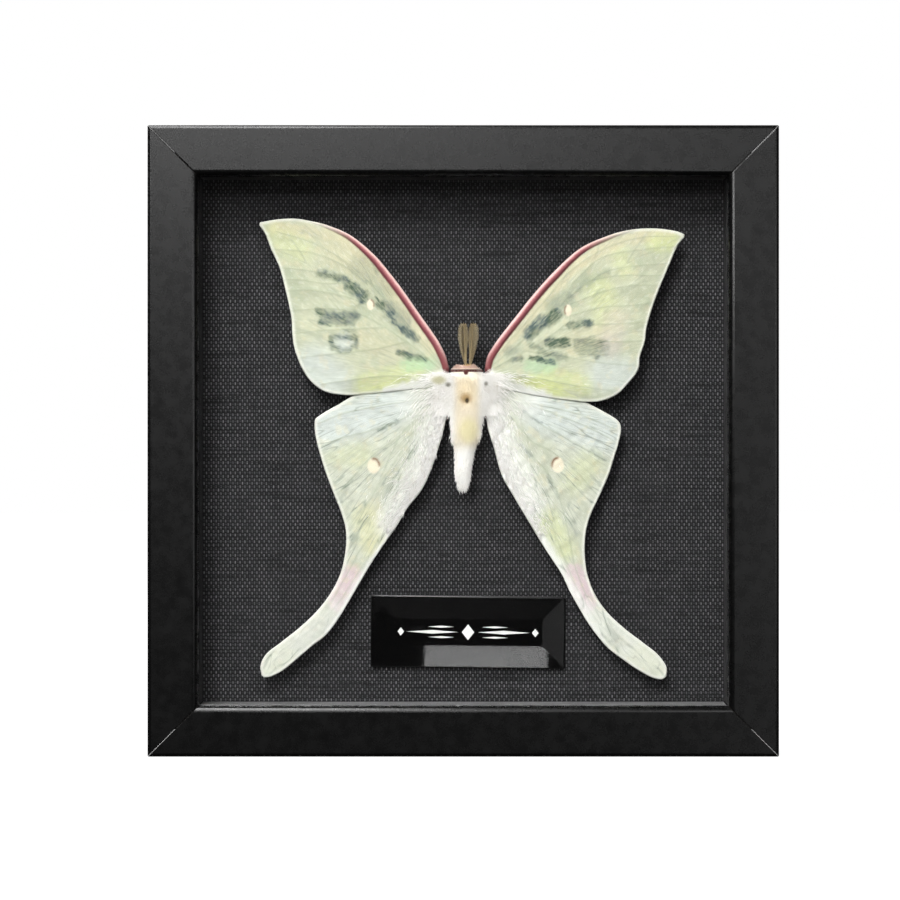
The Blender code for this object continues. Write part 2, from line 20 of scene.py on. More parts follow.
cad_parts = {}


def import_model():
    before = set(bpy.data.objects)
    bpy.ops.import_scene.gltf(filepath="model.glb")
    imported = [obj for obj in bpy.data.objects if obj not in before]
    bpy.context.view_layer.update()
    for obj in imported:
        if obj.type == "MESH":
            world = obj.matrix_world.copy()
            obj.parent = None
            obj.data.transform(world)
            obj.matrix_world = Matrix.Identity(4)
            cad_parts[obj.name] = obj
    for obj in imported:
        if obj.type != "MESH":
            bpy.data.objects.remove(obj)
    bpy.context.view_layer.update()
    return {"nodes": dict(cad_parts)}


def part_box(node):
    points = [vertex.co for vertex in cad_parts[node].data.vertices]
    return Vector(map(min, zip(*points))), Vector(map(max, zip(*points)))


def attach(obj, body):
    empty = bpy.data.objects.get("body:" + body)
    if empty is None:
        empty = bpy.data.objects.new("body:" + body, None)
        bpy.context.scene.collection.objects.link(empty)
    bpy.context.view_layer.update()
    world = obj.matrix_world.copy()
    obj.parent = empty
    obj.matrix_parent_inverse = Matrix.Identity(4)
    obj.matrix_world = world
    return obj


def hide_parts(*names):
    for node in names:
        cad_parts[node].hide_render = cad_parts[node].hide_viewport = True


MM = 0.001
SHARP = 30.0
SMOOTH = 40.0
BODY = "root"
LOG = logging.getLogger("moon_moth")

Colour = tuple[float, float, float]
Path = tuple[tuple[float, float], ...]
Place = tuple[float, float, float]
Nodes = dict[str, bpy.types.Object]


class Side(Enum):
    """Which way a wing, leg or antenna points, as the sign of X."""

    LEFT = -1
    RIGHT = 1


class RailPlace(Enum):
    """Where a rail sits, as its quarter turns from the bottom."""

    BOTTOM = 0
    RIGHT = 1
    TOP = 2
    LEFT = 3


class Tint(Enum):
    """Colours that are painted on a wing's points."""

    SOOT = "soot"
    MINT = "mint"
    LIME = "lime"
    ICE = "ice"
    ROSE = "rose"
    SNOW = "snow"
    CREAM = "cream"


def ink(code: str) -> Colour:
    """Linear colour of a display colour written as six hexadecimal digits.

    Args:
        code: The digits.

    Returns:
        The colour.
    """
    shares = [int(code[start:start + 2], 16) / 255 for start in (0, 2, 4)]
    red, green, blue = (s / 12.92 if s < 0.04 else ((s + 0.055) / 1.055) ** 2.4 for s in shares)
    return red, green, blue


class Signal:
    """A shader socket that takes part in arithmetic."""

    def __init__(self, shader: "Shader", socket: bpy.types.NodeSocket) -> None:
        """Keep the socket and the shader that it belongs to."""
        self.shader = shader
        self.socket = socket

    def math(self, operation: str, *terms: "Term") -> "Signal":
        """Add a Math node that works on the given terms."""
        return self.shader.node("ShaderNodeMath", {"operation": operation}, dict(enumerate(terms)))

    def __add__(self, other: "Term") -> "Signal":
        """Sum of the two."""
        return self.math("ADD", self, other)

    __radd__ = __add__

    def __mul__(self, other: "Term") -> "Signal":
        """Product of the two."""
        return self.math("MULTIPLY", self, other)

    __rmul__ = __mul__

    def __sub__(self, other: "Term") -> "Signal":
        """This less the other."""
        return self.math("SUBTRACT", self, other)

    def __rsub__(self, other: "Term") -> "Signal":
        """The other less this."""
        return self.math("SUBTRACT", other, self)

    def __truediv__(self, other: "Term") -> "Signal":
        """This over the other."""
        return self.math("DIVIDE", self, other)

    def __pow__(self, power: float) -> "Signal":
        """This raised to a power."""
        return self.math("POWER", self, power)

    def __abs__(self) -> "Signal":
        """Size without the sign."""
        return self.math("ABSOLUTE", self)

    def least(self, other: "Term") -> "Signal":
        """The smaller of the two."""
        return self.math("MINIMUM", self, other)

    def most(self, other: "Term") -> "Signal":
        """The larger of the two."""
        return self.math("MAXIMUM", self, other)

    def cosine(self) -> "Signal":
        """Cosine of an angle in radians."""
        return self.math("COSINE", self)

    def rounded(self) -> "Signal":
        """Nearest whole number."""
        return self.math("ROUND", self)

    def step(self, low: float, high: float) -> "Signal":
        """Smooth step from 0 at low to 1 at high; high may lie below low.

        Args:
            low: Where it is 0.
            high: Where it is 1.

        Returns:
            The step.
        """
        flip = high < low
        limits = {"From Min": min(low, high), "From Max": max(low, high)}
        settings = {"interpolation_type": "SMOOTHSTEP"}
        smooth = self.shader.node("ShaderNodeMapRange", settings, {"Value": self, **limits})
        return 1 - smooth if flip else smooth


Term = float | Signal


class Shader:
    """Node tree of one material, written as expressions."""

    def __init__(self, name: str) -> None:
        """Start a material with its Principled shader.

        Args:
            name: The material's name.
        """
        self.material = bpy.data.materials.new(name)
        self.material.use_nodes = True
        self.tree = self.material.node_tree
        self.principled = self.tree.nodes["Principled BSDF"]

    @staticmethod
    def find(sockets: Iterable[bpy.types.NodeSocket], key: int | str) -> bpy.types.NodeSocket:
        """Find a socket by its number, identifier or name.

        Args:
            sockets: The sockets of a node.
            key: Number, identifier or name.

        Returns:
            The socket.
        """
        if isinstance(key, int):
            return sockets[key]
        exact = [socket for socket in sockets if socket.identifier == key]
        return exact[0] if exact else sockets[key]

    def feed(self, socket: bpy.types.NodeSocket, value: object) -> None:
        """Link a signal to a socket, or set a constant on it.

        Args:
            socket: The input.
            value: Signal, number or colour.
        """
        if isinstance(value, Signal):
            self.tree.links.new(value.socket, socket)
        elif isinstance(value, tuple) and len(value) < len(socket.default_value):
            socket.default_value = (*value, 1.0)
        else:
            socket.default_value = value

    def node(
        self,
        kind: str,
        settings: dict | None = None,
        sockets: dict | None = None,
        output: int | str = 0,
    ) -> Signal:
        """Add any node.

        Args:
            kind: The node's type.
            settings: Its properties, which are set first; "stops" holds a ramp's places and colours.
            sockets: Values or signals by socket number, identifier or name.
            output: The output that is wanted.

        Returns:
            That output as a signal.
        """
        node = self.tree.nodes.new(kind)
        for name, value in (settings or {}).items():
            if name == "stops":
                self.set_stops(node.color_ramp, value)
            else:
                setattr(node, name, value)
        for key, value in (sockets or {}).items():
            self.feed(self.find(node.inputs, key), value)
        return Signal(self, self.find(node.outputs, output))

    @staticmethod
    def set_stops(ramp: bpy.types.ColorRamp, stops: Sequence[tuple[float, Colour]]) -> None:
        """Place the stops of a colour ramp.

        Args:
            ramp: The ramp.
            stops: Place and colour of each stop.
        """
        while len(ramp.elements) < len(stops):
            ramp.elements.new(1.0)
        for element, (place, colour) in zip(ramp.elements, stops):
            element.position = place
            element.color = (*colour, 1.0)

    def attribute(self, name: str) -> Signal:
        """Value painted on the mesh's points."""
        return self.node("ShaderNodeAttribute", {"attribute_name": name}, output="Fac")

    def scaled(self, vector: Signal, factors: tuple[float, float, float]) -> Signal:
        """Multiply a vector by three factors."""
        settings = {"operation": "MULTIPLY"}
        return self.node("ShaderNodeVectorMath", settings, {0: vector, 1: factors})

    def place(self) -> Signal:
        """Place on the object in millimetres, as a vector."""
        where = self.node("ShaderNodeTexCoord", output="Object")
        return self.scaled(where, (1 / MM, 1 / MM, 1 / MM))

    def axes(self, vector: Signal) -> tuple[Signal, Signal, Signal]:
        """The three parts of a vector.

        Args:
            vector: The vector.

        Returns:
            X, Y and Z.
        """
        first = self.node("ShaderNodeSeparateXYZ", sockets={0: vector})
        parts = first.socket.node.outputs
        return first, Signal(self, parts[1]), Signal(self, parts[2])

    def vector(self, x: Term, y: Term, z: Term = 0.0) -> Signal:
        """A vector from three parts."""
        return self.node("ShaderNodeCombineXYZ", sockets={0: x, 1: y, 2: z})

    def noise(self, vector: Signal, scale: float, detail: float = 2.0, rough: float = 0.5) -> Signal:
        """Smooth noise from 0 to 1."""
        sockets = {"Vector": vector, "Scale": scale, "Detail": detail, "Roughness": rough}
        return self.node("ShaderNodeTexNoise", sockets=sockets)

    def scatter(self, vector: Signal) -> Signal:
        """A random value from 0 to 1 for each whole-number place."""
        return self.node("ShaderNodeTexWhiteNoise", {"noise_dimensions": "3D"}, {0: vector})

    def mix(self, first: object, second: object, share: Term) -> Signal:
        """Blend two colours; a share of 1 gives the second."""
        sockets = {"Factor_Float": share, "A_Color": first, "B_Color": second}
        return self.node("ShaderNodeMix", {"data_type": "RGBA"}, sockets, "Result_Color")

    def layered(self, base: Signal, layers: Iterable[tuple[Colour | Signal, Term]]) -> Signal:
        """Lay colours over a base, one after the other.

        Args:
            base: The colour at the bottom.
            layers: Each colour with its cover.

        Returns:
            The colour on top.
        """
        for colour, cover in layers:
            base = self.mix(base, colour, cover)
        return base

    def blot(self, across: Signal, up: Signal, centre: tuple, reach: tuple, soft: float) -> Signal:
        """Elliptical patch: 1 inside, 0 outside.

        Args:
            across: Place across the object.
            up: Place up the object.
            centre: Middle of the patch.
            reach: Half its width and height.
            soft: Share of the reach over which it fades.

        Returns:
            The patch's cover.
        """
        wide = ((across - centre[0]) / reach[0]) ** 2
        tall = ((up - centre[1]) / reach[1]) ** 2
        return ((wide + tall) ** 0.5).step(1 + soft, 1 - soft)

    def bump(self, height: Signal, distance: float) -> Signal:
        """Normal of a relief whose full height is a distance in millimetres."""
        sockets = {"Height": height, "Distance": distance * MM, "Strength": 1.0}
        return self.node("ShaderNodeBump", sockets=sockets)

    def surface(self, **sockets: object) -> bpy.types.Material:
        """Feed the Principled shader, with spaces in socket names written as underscores.

        Args:
            sockets: Values or signals by socket name.

        Returns:
            The material.
        """
        for name, value in sockets.items():
            self.feed(self.find(self.principled.inputs, name.replace("_", " ")), value)
        return self.material


@dataclass(frozen=True)
class SatinPaint:
    """Satin black paint on a wooden rail, rubbed thin at mitres and arrises."""

    paint: Colour = ink("070707")
    worn: Colour = ink("45423f")
    roughness: float = 0.275
    side: float = 150.0

    def material(self, name: str) -> bpy.types.Material:
        """Paint one rail.

        Args:
            name: The material's name.

        Returns:
            The material.
        """
        shader = Shader(name)
        place = shader.place()
        x, y, z = shader.axes(place)
        across = abs(x)
        tall = abs(z - self.side / 2)
        mottle = shader.noise(place, 0.35, 3.0, 0.6)
        fine = shader.noise(place, 2.6, 3.0, 0.6)
        grit = shader.noise(place, 9.0, 2.0, 0.5)
        mitre = abs(across - tall).step(0.5, 0.05) * y.step(0.0, -13.0)
        rim = (across.most(tall) - (self.side / 2 - 0.55)).step(0.0, 0.5) * y.step(-14.0, -14.7)
        worn = (mitre * 0.35 + rim * 0.35) * fine.step(0.42, 0.62)
        speck = grit.step(0.70, 0.78) * 0.25
        colour = shader.mix(self.paint, self.worn, (worn + speck).least(1.0))
        roughness = self.roughness + (mottle - 0.5) * 0.16 + (fine - 0.5) * 0.10
        relief = fine * 0.7 + grit * 0.3
        normal = shader.bump(relief, 0.0035)
        return shader.surface(Base_Color=colour, Roughness=roughness, Normal=normal, Specular_IOR_Level=0.5)


@dataclass(frozen=True)
class ClearGlass:
    """Clear float glass."""

    ior: float = 1.5

    def material(self, name: str) -> bpy.types.Material:
        """See-through pane with a very slight waviness on its faces.

        Args:
            name: The material's name.

        Returns:
            The material.
        """
        shader = Shader(name)
        wave = shader.noise(shader.place(), 0.02, 0.0)
        normal = shader.bump(wave, 0.01)
        clear = {"Transmission_Weight": 1.0, "IOR": self.ior, "Normal": normal}
        return shader.surface(Base_Color=(1.0, 1.0, 1.0), Roughness=0.0, **clear)


@dataclass(frozen=True)
class Streaked:
    """A plain stock with a grain: wood, pressed board, paper or rolled metal."""

    light: Colour
    dark: Colour
    roughness: float
    grain: tuple[float, float, float] = (1.0, 1.0, 1.0)
    scale: float = 1.0
    contrast: float = 0.5
    relief: float = 0.02
    metallic: float = 0.0

    def material(self, name: str) -> bpy.types.Material:
        """Make the stock's material.

        Args:
            name: The material's name.

        Returns:
            The material.
        """
        shader = Shader(name)
        place = shader.place()
        run = shader.scaled(place, self.grain)
        streaks = shader.noise(run, self.scale, 4.0, 0.65)
        specks = shader.noise(place, self.scale * 4, 2.0, 0.6)
        share = ((streaks - 0.5) * 2.2 * self.contrast + (specks - 0.5) * self.contrast + 0.5)
        colour = shader.mix(self.dark, self.light, share.least(1.0).most(0.0))
        roughness = self.roughness + (streaks - 0.5) * 0.18
        normal = shader.bump(streaks * 0.6 + specks * 0.4, self.relief)
        metallic = {"Metallic": self.metallic}
        return shader.surface(Base_Color=colour, Roughness=roughness, Normal=normal, **metallic)


@dataclass(frozen=True)
class WovenCloth:
    """Black plain weave; its grey flecks where the warp lies on top are a painted highlight, its dark gaps
    painted shade.
    """

    warp_pitch: float
    weft_pitch: float
    # warp: painted highlight on the raised tops of the black yarn; gap: painted shade between the yarns.
    warp: Colour = ink("727274")
    weft: Colour = ink("3c3c3e")
    gap: Colour = ink("141415")

    def material(self, name: str) -> bpy.types.Material:
        """Weave the two yarns over and under.

        Args:
            name: The material's name.

        Returns:
            The material.
        """
        shader = Shader(name)
        place = shader.place()
        x, _, z = shader.axes(place)
        wander = (shader.noise(place, 0.6, 2.0) - 0.5) * 0.25
        u = x / (self.warp_pitch / MM) + wander
        v = z / (self.weft_pitch / MM) + wander
        turn_u = (u * math.pi).cosine()
        turn_v = (v * math.pi).cosine()
        over = turn_u * turn_v
        warp_body = turn_u * turn_u
        weft_body = turn_v * turn_v
        warp_top = warp_body * over.step(-0.15, 0.75)
        weft_top = weft_body * over.step(0.15, -0.75)
        warp_tone = shader.scatter(shader.vector(u.rounded(), (v * 0.09).rounded(), 3.0))
        weft_tone = shader.scatter(shader.vector((u * 0.05).rounded(), v.rounded(), 8.0))
        spot = shader.scatter(shader.vector(u.rounded(), v.rounded(), 5.0))
        fibre = shader.noise(shader.scaled(place, (1.0, 1.0, 0.35)), 9.0, 3.0, 0.7)
        # The warp tops are painted lighter as a painted highlight, and the gaps between the yarns darker as
        # painted shade.
        warp_highlight = shader.mix(self.weft, self.warp, warp_tone * 0.35 + spot * 0.65 + (fibre - 0.3) * 0.8)
        weft_colour = shader.mix(self.gap, self.weft, weft_tone * 0.5 + fibre * 0.8)
        yarns = shader.mix(self.gap, weft_colour, weft_top)
        yarns = shader.mix(yarns, warp_highlight, warp_top)
        slub = shader.noise(shader.scaled(place, (0.06, 1.0, 1.5)), 1.0, 2.0, 0.6)
        yarns = shader.mix(yarns, self.gap, (slub - 0.5).step(0.04, 0.14) * 0.65)
        height = warp_top.most(weft_top * 0.8) + fibre * 0.25
        normal = shader.bump(height, 0.10)
        return shader.surface(Base_Color=yarns, Roughness=0.86, Normal=normal, Specular_IOR_Level=0.25)


@dataclass(frozen=True)
class GlossBlack:
    """Polished black plate with a few hairline scratches."""

    centre: tuple[float, float]
    half_height: float
    tilt: float
    colour: Colour = ink("020202")

    def material(self, name: str) -> bpy.types.Material:
        """Polish the plate, duller along its worn top edge.

        Args:
            name: The material's name.

        Returns:
            The material.
        """
        shader = Shader(name)
        place = shader.place()
        x, _, z = shader.axes(place)
        up = (z - self.centre[1] / MM) + (x - self.centre[0] / MM) * math.tan(self.tilt)
        top = self.half_height / MM
        worn = up.step(top - 0.40, top - 0.30)
        haze = shader.noise(place, 0.25, 3.0)
        hair = shader.noise(shader.scaled(place, (0.25, 1.0, 6.0)), 2.0, 3.0, 0.7)
        roughness = 0.045 + haze * 0.03 + hair.step(0.66, 0.78) * 0.04 + worn * 0.3
        return shader.surface(Base_Color=self.colour, Roughness=roughness)


@dataclass(frozen=True)
class WingScales:
    """Pale green scales over veins, with soft marks, a maroon rim and two eyespots."""

    ground: Colour
    shade: Colour
    # creased: strength of the painted shade along fine creases; crease: its colour.
    crease_shade_strength: float
    vein: Colour = ink("9ca68c")
    crease: Colour = ink("8a9486")
    margin: Colour = ink("eff0e6")
    soot: Colour = ink("40555a")
    moss: Colour = ink("3e5644")
    mint: Colour = ink("aed6a9")
    lime: Colour = ink("d2da98")
    ice: Colour = ink("cad2ce")
    rose: Colour = ink("d3c0c3")
    snow: Colour = ink("eaebe6")
    cream: Colour = ink("d3cca9")
    disc: Colour = ink("e8e0c8")
    crescent: Colour = ink("7c5c42")
    # Rim colours from the outer edge inwards: the rim's own pink and maroon, with a painted highlight near
    # its outer, upper side and painted shade towards its inner side.
    rim: tuple[tuple[float, Colour], ...] = (
        (0.0, ink("b89a92")), (0.16, ink("f8d8d2")), (0.33, ink("d4a09c")),
        (0.50, ink("a46266")), (0.75, ink("80424a")), (0.97, ink("6a383c")),
    )
    root: Colour = ink("86484a")

    def material(self, name: str) -> bpy.types.Material:
        """Lay the tints over each other, broken up by streaks along the veins.

        Args:
            name: The material's name.

        Returns:
            The material.
        """
        shader = Shader(name)
        place = shader.place()
        paint = shader.attribute
        reach = paint("reach")
        fan = shader.vector(paint("fan"), reach)
        streaks = shader.noise(shader.scaled(fan, (22.0, 0.22, 1.0)), 1.0, 4.0, 0.65)
        strands = shader.noise(shader.scaled(fan, (58.0, 0.55, 1.0)), 1.0, 3.0, 0.6)
        clouds = shader.noise(place, 0.16, 3.0, 0.55)
        patches = shader.noise(place, 0.42, 3.0, 0.6)
        dust = shader.noise(place, 1.5, 3.0, 0.7)
        # Thin dark lines along the fan are painted shade of fine creases; they also deepen the soot marks
        # and thin the white.
        first = shader.noise(shader.scaled(fan, (15.0, 0.06, 1.0)), 1.0, 1.0, 0.4)
        second = shader.noise(shader.scaled(fan, (34.0, 0.11, 1.0)), 1.0, 1.0, 0.4)
        crease_shade_lines = abs(first - 0.5).step(0.034, 0.0) * 0.8 + abs(second - 0.5).step(0.034, 0.0) * 0.5
        crease_shade_lines = crease_shade_lines * (clouds * 0.7 + streaks * 0.3).step(0.42, 0.56)
        hair = (streaks - 0.5) * 2.6 + (strands - 0.5) * 2.4 + (dust - 0.5) * 0.8 + 0.5
        worn = paint("soot") * (hair.least(1.0).most(0.0) * 0.7 + crease_shade_lines * 0.5 + 0.48)
        dark = shader.mix(self.soot, self.moss, (clouds - 0.5).step(-0.05, 0.08))
        snow = paint("snow") * (0.62 + streaks * 0.6) - crease_shade_lines * 0.3
        # Across the rim: its pink and maroon, with a painted highlight on the outer side and painted shade
        # on the inner side.
        across = paint("rim_side") + (dust - 0.5) * 0.25
        bead = shader.node("ShaderNodeValToRGB", {"stops": self.rim}, {0: across})
        bead = shader.mix(self.root, bead, reach.step(1.5, 12.0))
        base = shader.mix(self.shade, self.ground, (clouds * 0.6 + streaks * 0.4).step(0.34, 0.60))
        # Greener tint where the forewing lies over the hindwing: painted light, standing for light that
        # passes through the thin forewing and comes back off the hindwing.
        base = shader.mix(base, self.lime, paint("overlap") * (0.25 + patches * 0.5))
        for tint in (Tint.CREAM, Tint.LIME, Tint.ICE, Tint.MINT, Tint.ROSE):
            cover = paint(tint.value) * (0.35 + streaks * 0.7 + patches * 0.5)
            base = shader.mix(base, getattr(self, tint.value), cover.least(1.0))
        base = shader.layered(base, (
            (self.cream, (patches - 0.5).step(0.02, 0.16) * 0.35),
            (self.margin, (strands - 0.5).step(0.02, 0.15) * 0.2),
            (self.crease, (crease_shade_lines * self.crease_shade_strength).least(1.0)),
            (self.vein, (paint("vein") * (0.15 + strands * 0.9) * 0.72).least(1.0)),
            (dark, worn.least(0.92)),
            (self.margin, paint("margin") * (0.55 + dust * 0.6).least(1.0)),
            (self.snow, snow.least(1.0).most(0.0)),
            (self.disc, paint("eye_disc")),
            (self.crescent, paint("eye_crescent") * (0.45 + dust).least(1.0)),
            (bead, paint("rim")),
        ))
        normal = shader.bump(strands * 0.7 + dust * 0.3, 0.03)
        roughness = 0.66 + dust * 0.15
        return shader.surface(Base_Color=base, Roughness=roughness, Normal=normal, Specular_IOR_Level=0.2)


@dataclass(frozen=True)
class MothFur:
    """Woolly hair in cream and white, with a maroon collar and rubbed ochre patches."""

    pin_x: float
    pin_z: float
    white: Colour = ink("f7f6f3")
    cream: Colour = ink("f3ecdc")
    shadow: Colour = ink("c8c1b2")
    ochre: Colour = ink("c2a05e")
    buff: Colour = ink("efe2c2")
    smudge: Colour = ink("6f6a58")
    olive: Colour = ink("c3c08a")
    yellow: Colour = ink("f0ecc0")
    tuft: Colour = ink("cfb4a6")
    collar: Colour = ink("5d3430")
    pit: Colour = ink("5c4a26")
    # scatter: strength of a glow in the fur's own colour, painted light standing for light scattered through
    # the hair.
    scatter: float = 0.10

    def material(self, name: str) -> bpy.types.Material:
        """Colour the hair by where it grows.

        Args:
            name: The material's name.

        Returns:
            The material.
        """
        shader = Shader(name)
        place = shader.place()
        x, _, z = shader.axes(place)
        across = x - self.pin_x / MM
        up = z - self.pin_z / MM
        spot = partial(shader.blot, across, up)
        clump = shader.noise(shader.scaled(place, (1.0, 1.0, 0.4)), 0.9, 3.0, 0.6)
        strand = shader.noise(shader.scaled(place, (4.0, 4.0, 0.7)), 1.0, 2.0, 0.6)
        light = (clump * 0.4 + strand * 0.6).step(0.28, 0.50)
        band = abs(up - 7.15).step(0.5, 0.2) * abs(across).step(4.9, 4.2)
        base = shader.mix(self.cream, self.white, abs(across).step(1.8, 3.9).most(up.step(-9.0, -13.0)))
        base = shader.mix(shader.mix(base, self.shadow, 0.7), base, light)
        base = shader.layered(base, (
            (self.buff, spot((0.0, 2.0), (2.0, 3.2), 0.6) * 0.5),
            (self.ochre, spot((-0.2, 0.5), (1.2, 1.1), 0.7) * 0.7),
            (self.yellow, spot((0.4, -7.2), (2.1, 2.9), 0.5) * 0.55),
            (self.tuft, up.step(7.3, 7.9)),
            (self.ochre, spot((0.1, 8.9), (1.1, 0.6), 0.5) * 0.8),
            (self.collar, band * (0.45 + clump).least(1.0)),
            (self.collar, spot((-0.2, 6.7), (0.55, 0.6), 0.4)),
            (self.pit, spot((0.05, -0.05), (0.42, 0.6), 0.6)),
            (self.smudge, spot((-4.5, 3.8), (0.6, 0.5), 0.7) * 0.7),
            (self.smudge, spot((4.6, 4.0), (0.45, 0.5), 0.7) * 0.7),
            (self.olive, spot((-6.8, 4.9), (1.6, 0.9), 0.6) * 0.6),
        ))
        # The hair glows faintly in its own colour: painted light.
        glow = {"Emission_Color": base, "Emission_Strength": self.scatter, "Specular_IOR_Level": 0.15}
        return shader.surface(Base_Color=base, Roughness=0.85, Normal=shader.bump(strand, 0.03), **glow)


@dataclass(frozen=True)
class HornyBrown:
    """Brown horn of feelers and legs, paler towards the edges of the vanes."""

    dark: Colour
    pale: Colour
    centre: float
    spread: float

    def material(self, name: str) -> bpy.types.Material:
        """Shade the horn from the dark shaft to the pale barb tips.

        Args:
            name: The material's name.

        Returns:
            The material.
        """
        shader = Shader(name)
        place = shader.place()
        x, _, _ = shader.axes(place)
        away = abs(x - self.centre).step(0.0, self.spread)
        mottle = shader.noise(place, 3.5, 3.0, 0.6)
        colour = shader.mix(self.dark, self.pale, away * 0.7 + (mottle - 0.35) * 0.5)
        roughness = 0.5 + mottle * 0.3
        return shader.surface(Base_Color=colour, Roughness=roughness, Normal=shader.bump(mottle, 0.02))


@dataclass
class Shape:
    """Points and faces of a mesh in the making, with values painted on its points."""

    points: np.ndarray
    faces: list
    layers: dict[str, np.ndarray] = field(default_factory=dict)

    @classmethod
    def joined(cls, shapes: Sequence["Shape"]) -> "Shape":
        """Put several shapes in one.

        Args:
            shapes: The shapes.

        Returns:
            All of them as one, unpainted.
        """
        faces: list = []
        offset = 0
        for shape in shapes:
            faces.extend([tuple(index + offset for index in face) for face in shape.faces])
            offset += len(shape.points)
        return cls(np.vstack([shape.points for shape in shapes]), faces)

    def mesh(self, name: str, sharp: float | None = None) -> bpy.types.Mesh:
        """Make the mesh.

        Args:
            name: The mesh's name.
            sharp: Angle in degrees above which edges stay sharp, or None for all smooth.

        Returns:
            The mesh, smooth shaded.
        """
        mesh = bpy.data.meshes.new(name)
        mesh.from_pydata(self.points.tolist(), [], self.faces)
        for layer, values in self.layers.items():
            painted = mesh.attributes.new(layer, "FLOAT", "POINT")
            painted.data.foreach_set("value", np.asarray(values, dtype=np.float32))
        mesh.validate()
        mesh.shade_smooth()
        if sharp is not None:
            mesh.set_sharp_from_angle(angle=math.radians(sharp))
        return mesh


def turn_out(mesh: bpy.types.Mesh) -> bpy.types.Mesh:
    """Point every face of a mesh outwards.

    Args:
        mesh: The mesh.

    Returns:
        The same mesh.
    """
    shape = bmesh.new()
    shape.from_mesh(mesh)
    bmesh.ops.recalc_face_normals(shape, faces=shape.faces)
    shape.to_mesh(mesh)
    shape.free()
    return mesh


def rounded(
    shape: bmesh.types.BMesh, name: str, bevel: tuple[float, int], place: Matrix, broad: float
) -> bpy.types.Mesh:
    """Bevel a shape's sharp edges, place it, and shade broad faces flat so that they mirror as planes.

    Args:
        shape: The shape, which is used up.
        name: The new mesh's name.
        bevel: The bevel's width and number of steps.
        place: Where the shape goes.
        broad: Area in square metres from which a face is shaded flat.

    Returns:
        The mesh.
    """
    width, steps = bevel
    sharp = [edge for edge in shape.edges if edge.calc_face_angle(0.0) > math.radians(SHARP)]
    bmesh.ops.bevel(
        shape, geom=sharp, offset=width, segments=steps, profile=0.5, affect="EDGES", clamp_overlap=True
    )
    bmesh.ops.transform(shape, matrix=place, verts=shape.verts)
    bmesh.ops.recalc_face_normals(shape, faces=shape.faces)
    mesh = bpy.data.meshes.new(name)
    shape.to_mesh(mesh)
    shape.free()
    mesh.shade_smooth()
    mesh.set_sharp_from_angle(angle=math.radians(SMOOTH))
    for face in mesh.polygons:
        face.use_smooth = face.area < broad
    return mesh


def unit(vectors: np.ndarray) -> np.ndarray:
    """Vectors in the same directions, each 1 long."""
    return vectors / np.linalg.norm(vectors, axis=1, keepdims=True)


def add_piece(
    name: str,
    mesh: bpy.types.Mesh,
    material: bpy.types.Material,
    replaced: Sequence[str] = (),
) -> bpy.types.Object:
    """Put a finished mesh on the object.

    Args:
        name: The piece's name.
        mesh: Its mesh, in place.
        material: Its finish.
        replaced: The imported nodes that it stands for.

    Returns:
        The new piece.
    """
    piece = bpy.data.objects.new(name, mesh)
    bpy.context.scene.collection.objects.link(piece)
    mesh.materials.append(material)
    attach(piece, BODY)
    if replaced:
        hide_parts(*replaced)
    return piece


def dress(node: bpy.types.Object, material: bpy.types.Material) -> None:
    """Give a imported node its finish."""
    node.data.materials.clear()
    node.data.materials.append(material)


def loft(rings: np.ndarray) -> Shape:
    """Skin rings of points, with a flat cap on the first and the last.

    Args:
        rings: Points by ring, by place in the ring.

    Returns:
        The closed shape.
    """
    rows, count, _ = rings.shape
    faces = []
    for row in range(rows - 1):
        for index in range(count):
            after = (index + 1) % count
            start, following = row * count, (row + 1) * count
            faces.append((start + index, start + after, following + after, following + index))
    faces.append(tuple(range(count))[::-1])
    faces.append(tuple(range((rows - 1) * count, rows * count)))
    return Shape(rings.reshape(-1, 3), faces)


def tube(path: np.ndarray, radii: np.ndarray, sides: int = 8) -> Shape:
    """Round tube along a path.

    Args:
        path: Points that the tube follows.
        radii: Its radius at each point.
        sides: Number of sides.

    Returns:
        The closed shape.
    """
    along = unit(np.gradient(path, axis=0))
    first = unit(np.cross(along, (0.0, 1.0, 0.0)))
    second = np.cross(along, first)
    angles = np.linspace(0, 2 * math.pi, sides, endpoint=False)
    circle = np.cos(angles)[None, :, None] * first[:, None, :]
    circle = circle + np.sin(angles)[None, :, None] * second[:, None, :]
    return loft(path[:, None, :] + circle * radii[:, None, None])


def spikes(roots: np.ndarray, heads: np.ndarray, bends: np.ndarray, widths: np.ndarray) -> Shape:
    """Tapered three-sided hairs.

    Args:
        roots: Where each hair grows.
        heads: From the root to the tip.
        bends: How far its middle stands off the straight line.
        widths: Its thickness at the root.

    Returns:
        The closed hairs in one shape.
    """
    along = unit(heads)
    helper = np.where(np.abs(along[:, 1:2]) > 0.9, [[1.0, 0.0, 0.0]], [[0.0, 1.0, 0.0]])
    first = unit(np.cross(along, helper))
    second = np.cross(along, first)
    rows = []
    middles = roots + heads * 0.55 + bends
    for centre, share in ((roots, 0.5), (middles, 0.38)):
        for angle in np.radians((90.0, 210.0, 330.0)):
            spoke = math.cos(angle) * first + math.sin(angle) * second
            rows.append(centre + spoke * (widths * share)[:, None])
    rows.append(roots + heads)
    points = np.stack(rows, axis=1).reshape(-1, 3)
    sheath = [(0, 1, 4, 3), (1, 2, 5, 4), (2, 0, 3, 5)]
    pattern = [(2, 1, 0), *sheath, (3, 4, 6), (4, 5, 6), (5, 3, 6)]
    faces = [tuple(7 * hair + corner for corner in face) for hair in range(len(roots)) for face in pattern]
    return Shape(points, faces)


